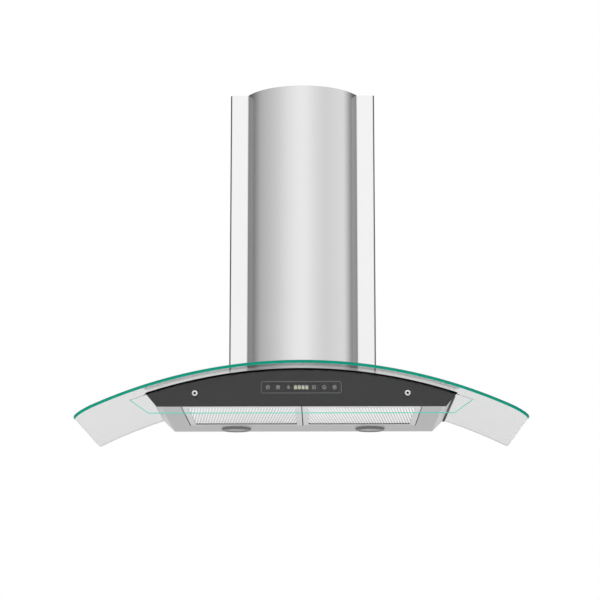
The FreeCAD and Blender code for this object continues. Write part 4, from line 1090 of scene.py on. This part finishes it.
def chimney_mesh(inset, low_z, top_z, trimmed):
    """A cover's folded sheet; a trimmed one stands on the canopy's curve."""
    bm = bmesh.new()
    half_plan = chimney_plan(inset)
    mirrored = [(Vector((-p.x, p.y)), Vector((-n.x, n.y))) for p, n in reversed(half_plan[:-1])]
    plan = half_plan + mirrored
    wing = WING_Y + inset
    columns = []
    for point, normal in plan:
        inner = point - normal * SHEET
        column = []
        for place, top in ((point, False), (point, True), (inner, True), (inner, False)):
            curve = arch_height(ARCH_RADIUS + GLASS_HALF, place.x) + GLASS_ROOM
            base = max(low_z, curve) if trimmed else low_z
            column.append(bm.verts.new((place.x, place.y, top_z if top else base)))
        columns.append(column)
    for index, (here, there) in enumerate(zip(columns, columns[1:])):
        middle = (plan[index][0] + plan[index + 1][0]) / 2
        finish = 0
        # The wings take the steel with painted light, and the front outer folds the steel with
        # painted shade.
        if abs(middle.x) > BULGE_HALF and middle.y < wing + FOLD:
            finish = 1 if middle.y < wing + GLASS_ROOM else 2
        skin(bm, here, there, finish)
    bm.faces.new(columns[0])
    bm.faces.new(columns[-1][::-1])
    return bm


for node, inset, body in (("lower_chimney_cover", 0.0, "root"),
                          ("upper_chimney_cover", 0.0025, "upper_cover")):
    low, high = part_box(node)
    cover = chimney_mesh(inset, low.z, high.z, trimmed=body == "root")
    piece = new_piece(node.replace("cover", "shell"), cover,
                      [chimney_steel, wing_steel_painted_light, fold_steel_painted_shade], 30)
    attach(piece, body)
    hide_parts(node)


# ---------------------------------------- inner pieces
# What the glass and the filters only half hide keeps its own shape and gets its finish
# here: galvanised sheet, zinc-plated bolts, moulded plastic, rubber and circuit board.

galvanised = brushed_steel("galvanised_sheet", (0.55, 0.56, 0.57), 0.42, (40, 40, 40), 0.25, 0.05)
zinc = brushed_steel("zinc_plated_steel", (0.6, 0.6, 0.62), 0.3, (200, 200, 200), 0.2, 0.02)
white_plastic = smeared("pale_blower_plastic", (0.55, 0.56, 0.56), 0.5, 25.0, 0.1)
dark_plastic = smeared("black_moulded_plastic", (0.02, 0.02, 0.022), 0.5, 40.0, 0.25)
board_green = smeared("green_solder_mask", (0.02, 0.12, 0.05), 0.4, 90.0, 0.4, Coat_Weight=0.3)
foam_grey = smeared("conductive_foam", (0.06, 0.06, 0.06), 0.9, 300.0, 0.5)

INNER_FINISH = {
    "galvanised": galvanised, "bolt_steel": zinc, "grey_plastic": white_plastic,
    "black_plastic": dark_plastic, "rubber": black_rubber, "circuit_board": board_green,
    "foam": foam_grey, "brushed_steel": body_steel, "chrome": chrome,
    "filter_aluminium": filter_aluminium, "clear_glass": clear_glass,
    "frosted_cover": frosted, "display": display_case, "black_enamel": black_enamel,
}
for subpart in frame["record"]["subparts"]:
    materials = frame["nodes"][subpart["node"]].data.materials
    materials.clear()
    materials.append(INNER_FINISH[subpart["material_slot"]])


# ---------------------------------------- studio
# A pale floor well below the hood, a white room whose walls fall off to grey at the
# sides, two soft lights and the camera that took the photograph.

FLOOR_HALF = 9.0
FLOOR_LEVEL = -0.95
FLOOR_SHINE = 0.55
FLOOR_GLOW = 0.55
bm = bmesh.new()
bmesh.ops.create_grid(bm, x_segments=2, y_segments=2, size=FLOOR_HALF)
for vert in bm.verts:
    vert.co.z = FLOOR_LEVEL
floor_pale = smeared("pale_floor", (0.82, 0.82, 0.82), 0.7, 1.5, 0.02,
                     Emission_Color=(1, 1, 1, 1))
tree = floor_pale.node_tree
shader = tree.nodes["Principled BSDF"]
path = tree.nodes.new("ShaderNodeLightPath")
glow = maths(tree, "MULTIPLY", path.outputs["Is Camera Ray"], FLOOR_GLOW)
tree.links.new(glow, shader.inputs["Emission Strength"])
mirrored = maths(tree, "MAXIMUM", path.outputs["Is Glossy Ray"],
                 path.outputs["Is Transmission Ray"])
bright = add_node(tree, "ShaderNodeEmission", {"Strength": FLOOR_SHINE})
lit = add_node(tree, "ShaderNodeMixShader", {
    "Fac": mirrored, 1: shader.outputs[0], 2: bright.outputs[0]})
below = tree.nodes.new("ShaderNodeNewGeometry")
clear = tree.nodes.new("ShaderNodeBsdfTransparent")
one_sided = add_node(tree, "ShaderNodeMixShader", {
    "Fac": below.outputs["Backfacing"], 1: lit.outputs[0], 2: clear.outputs[0]})
tree.links.new(one_sided.outputs[0], tree.nodes["Material Output"].inputs["Surface"])
floor = new_piece("floor", bm, [floor_pale])
if floor.data.polygons[0].normal.z < 0:
    floor.data.flip_normals()

WALLS = ((-180, 0.95), (-164, 0.85), (-148, 0.25), (-128, 0.16), (-112, 0.36), (-90, 0.50),
         (-70, 0.60), (-50, 0.71), (-30, 0.88), (-8, 1.0), (6, 1.0), (24, 0.86), (44, 0.76),
         (62, 0.80), (88, 0.86), (102, 0.62), (118, 0.25), (128, 0.16), (148, 0.25),
         (164, 0.85), (180, 0.95))
world = bpy.data.worlds.new("studio")
bpy.context.scene.world = world
world.use_nodes = True
tree = world.node_tree
tree.nodes.clear()
direction = tree.nodes.new("ShaderNodeTexCoord").outputs["Generated"]
parts = add_node(tree, "ShaderNodeSeparateXYZ", {0: direction})
backwards = maths(tree, "MULTIPLY", parts.outputs["Y"], -1.0)
azimuth = maths(tree, "ARCTAN2", parts.outputs["X"], backwards)
turn = maths(tree, "ADD", maths(tree, "DIVIDE", azimuth, 2 * math.pi), 0.5)
walls = add_node(tree, "ShaderNodeValToRGB", {"Fac": turn})
while len(walls.color_ramp.elements) < len(WALLS):
    walls.color_ramp.elements.new(0.5)
for element, (degrees, level) in zip(walls.color_ramp.elements, WALLS):
    element.position = (degrees + 180) / 360
    element.color = (level, level, level, 1)
path = tree.nodes.new("ShaderNodeLightPath")
seen = maths(tree, "MAXIMUM", path.outputs["Is Camera Ray"], path.outputs["Is Transmission Ray"])
blend = add_node(tree, "ShaderNodeMix", {
    "Factor": seen, "A": walls.outputs["Color"], "B": (1, 1, 1, 1)}, data_type="RGBA")
sky = add_node(tree, "ShaderNodeBackground", {"Color": blend.outputs["Result"]})
add_node(tree, "ShaderNodeOutputWorld", {"Surface": sky.outputs[0]})

LIT_POINT = Vector((0, -0.2, 0.1))
for name, place, size, power in (("key_light", (-1.6, -2.6, 1.2), 1.8, 18.0),
                                 ("low_light", (0.0, -0.60, -0.9), 1.4, 17.0)):
    lamp = bpy.data.lights.new(name, "AREA")
    lamp.size = size
    lamp.energy = power
    light = add_object(name, lamp)
    light.location = place
    light.rotation_euler = (LIT_POINT - Vector(place)).to_track_quat("-Z", "Y").to_euler()
    light.visible_camera = False
    light.visible_glossy = False
    light.visible_transmission = False

camera_data = bpy.data.cameras.new("camera")
camera_data.lens = 120.29
camera_data.sensor_width = 36.0
camera = add_object("camera", camera_data)
camera.location = (0.04335, -4.3923, -0.59943)
camera.rotation_euler = (math.pi / 2 + 0.1933, 0, 0.0116)
bpy.context.scene.camera = camera
bpy.context.scene.view_settings.view_transform = "Standard"
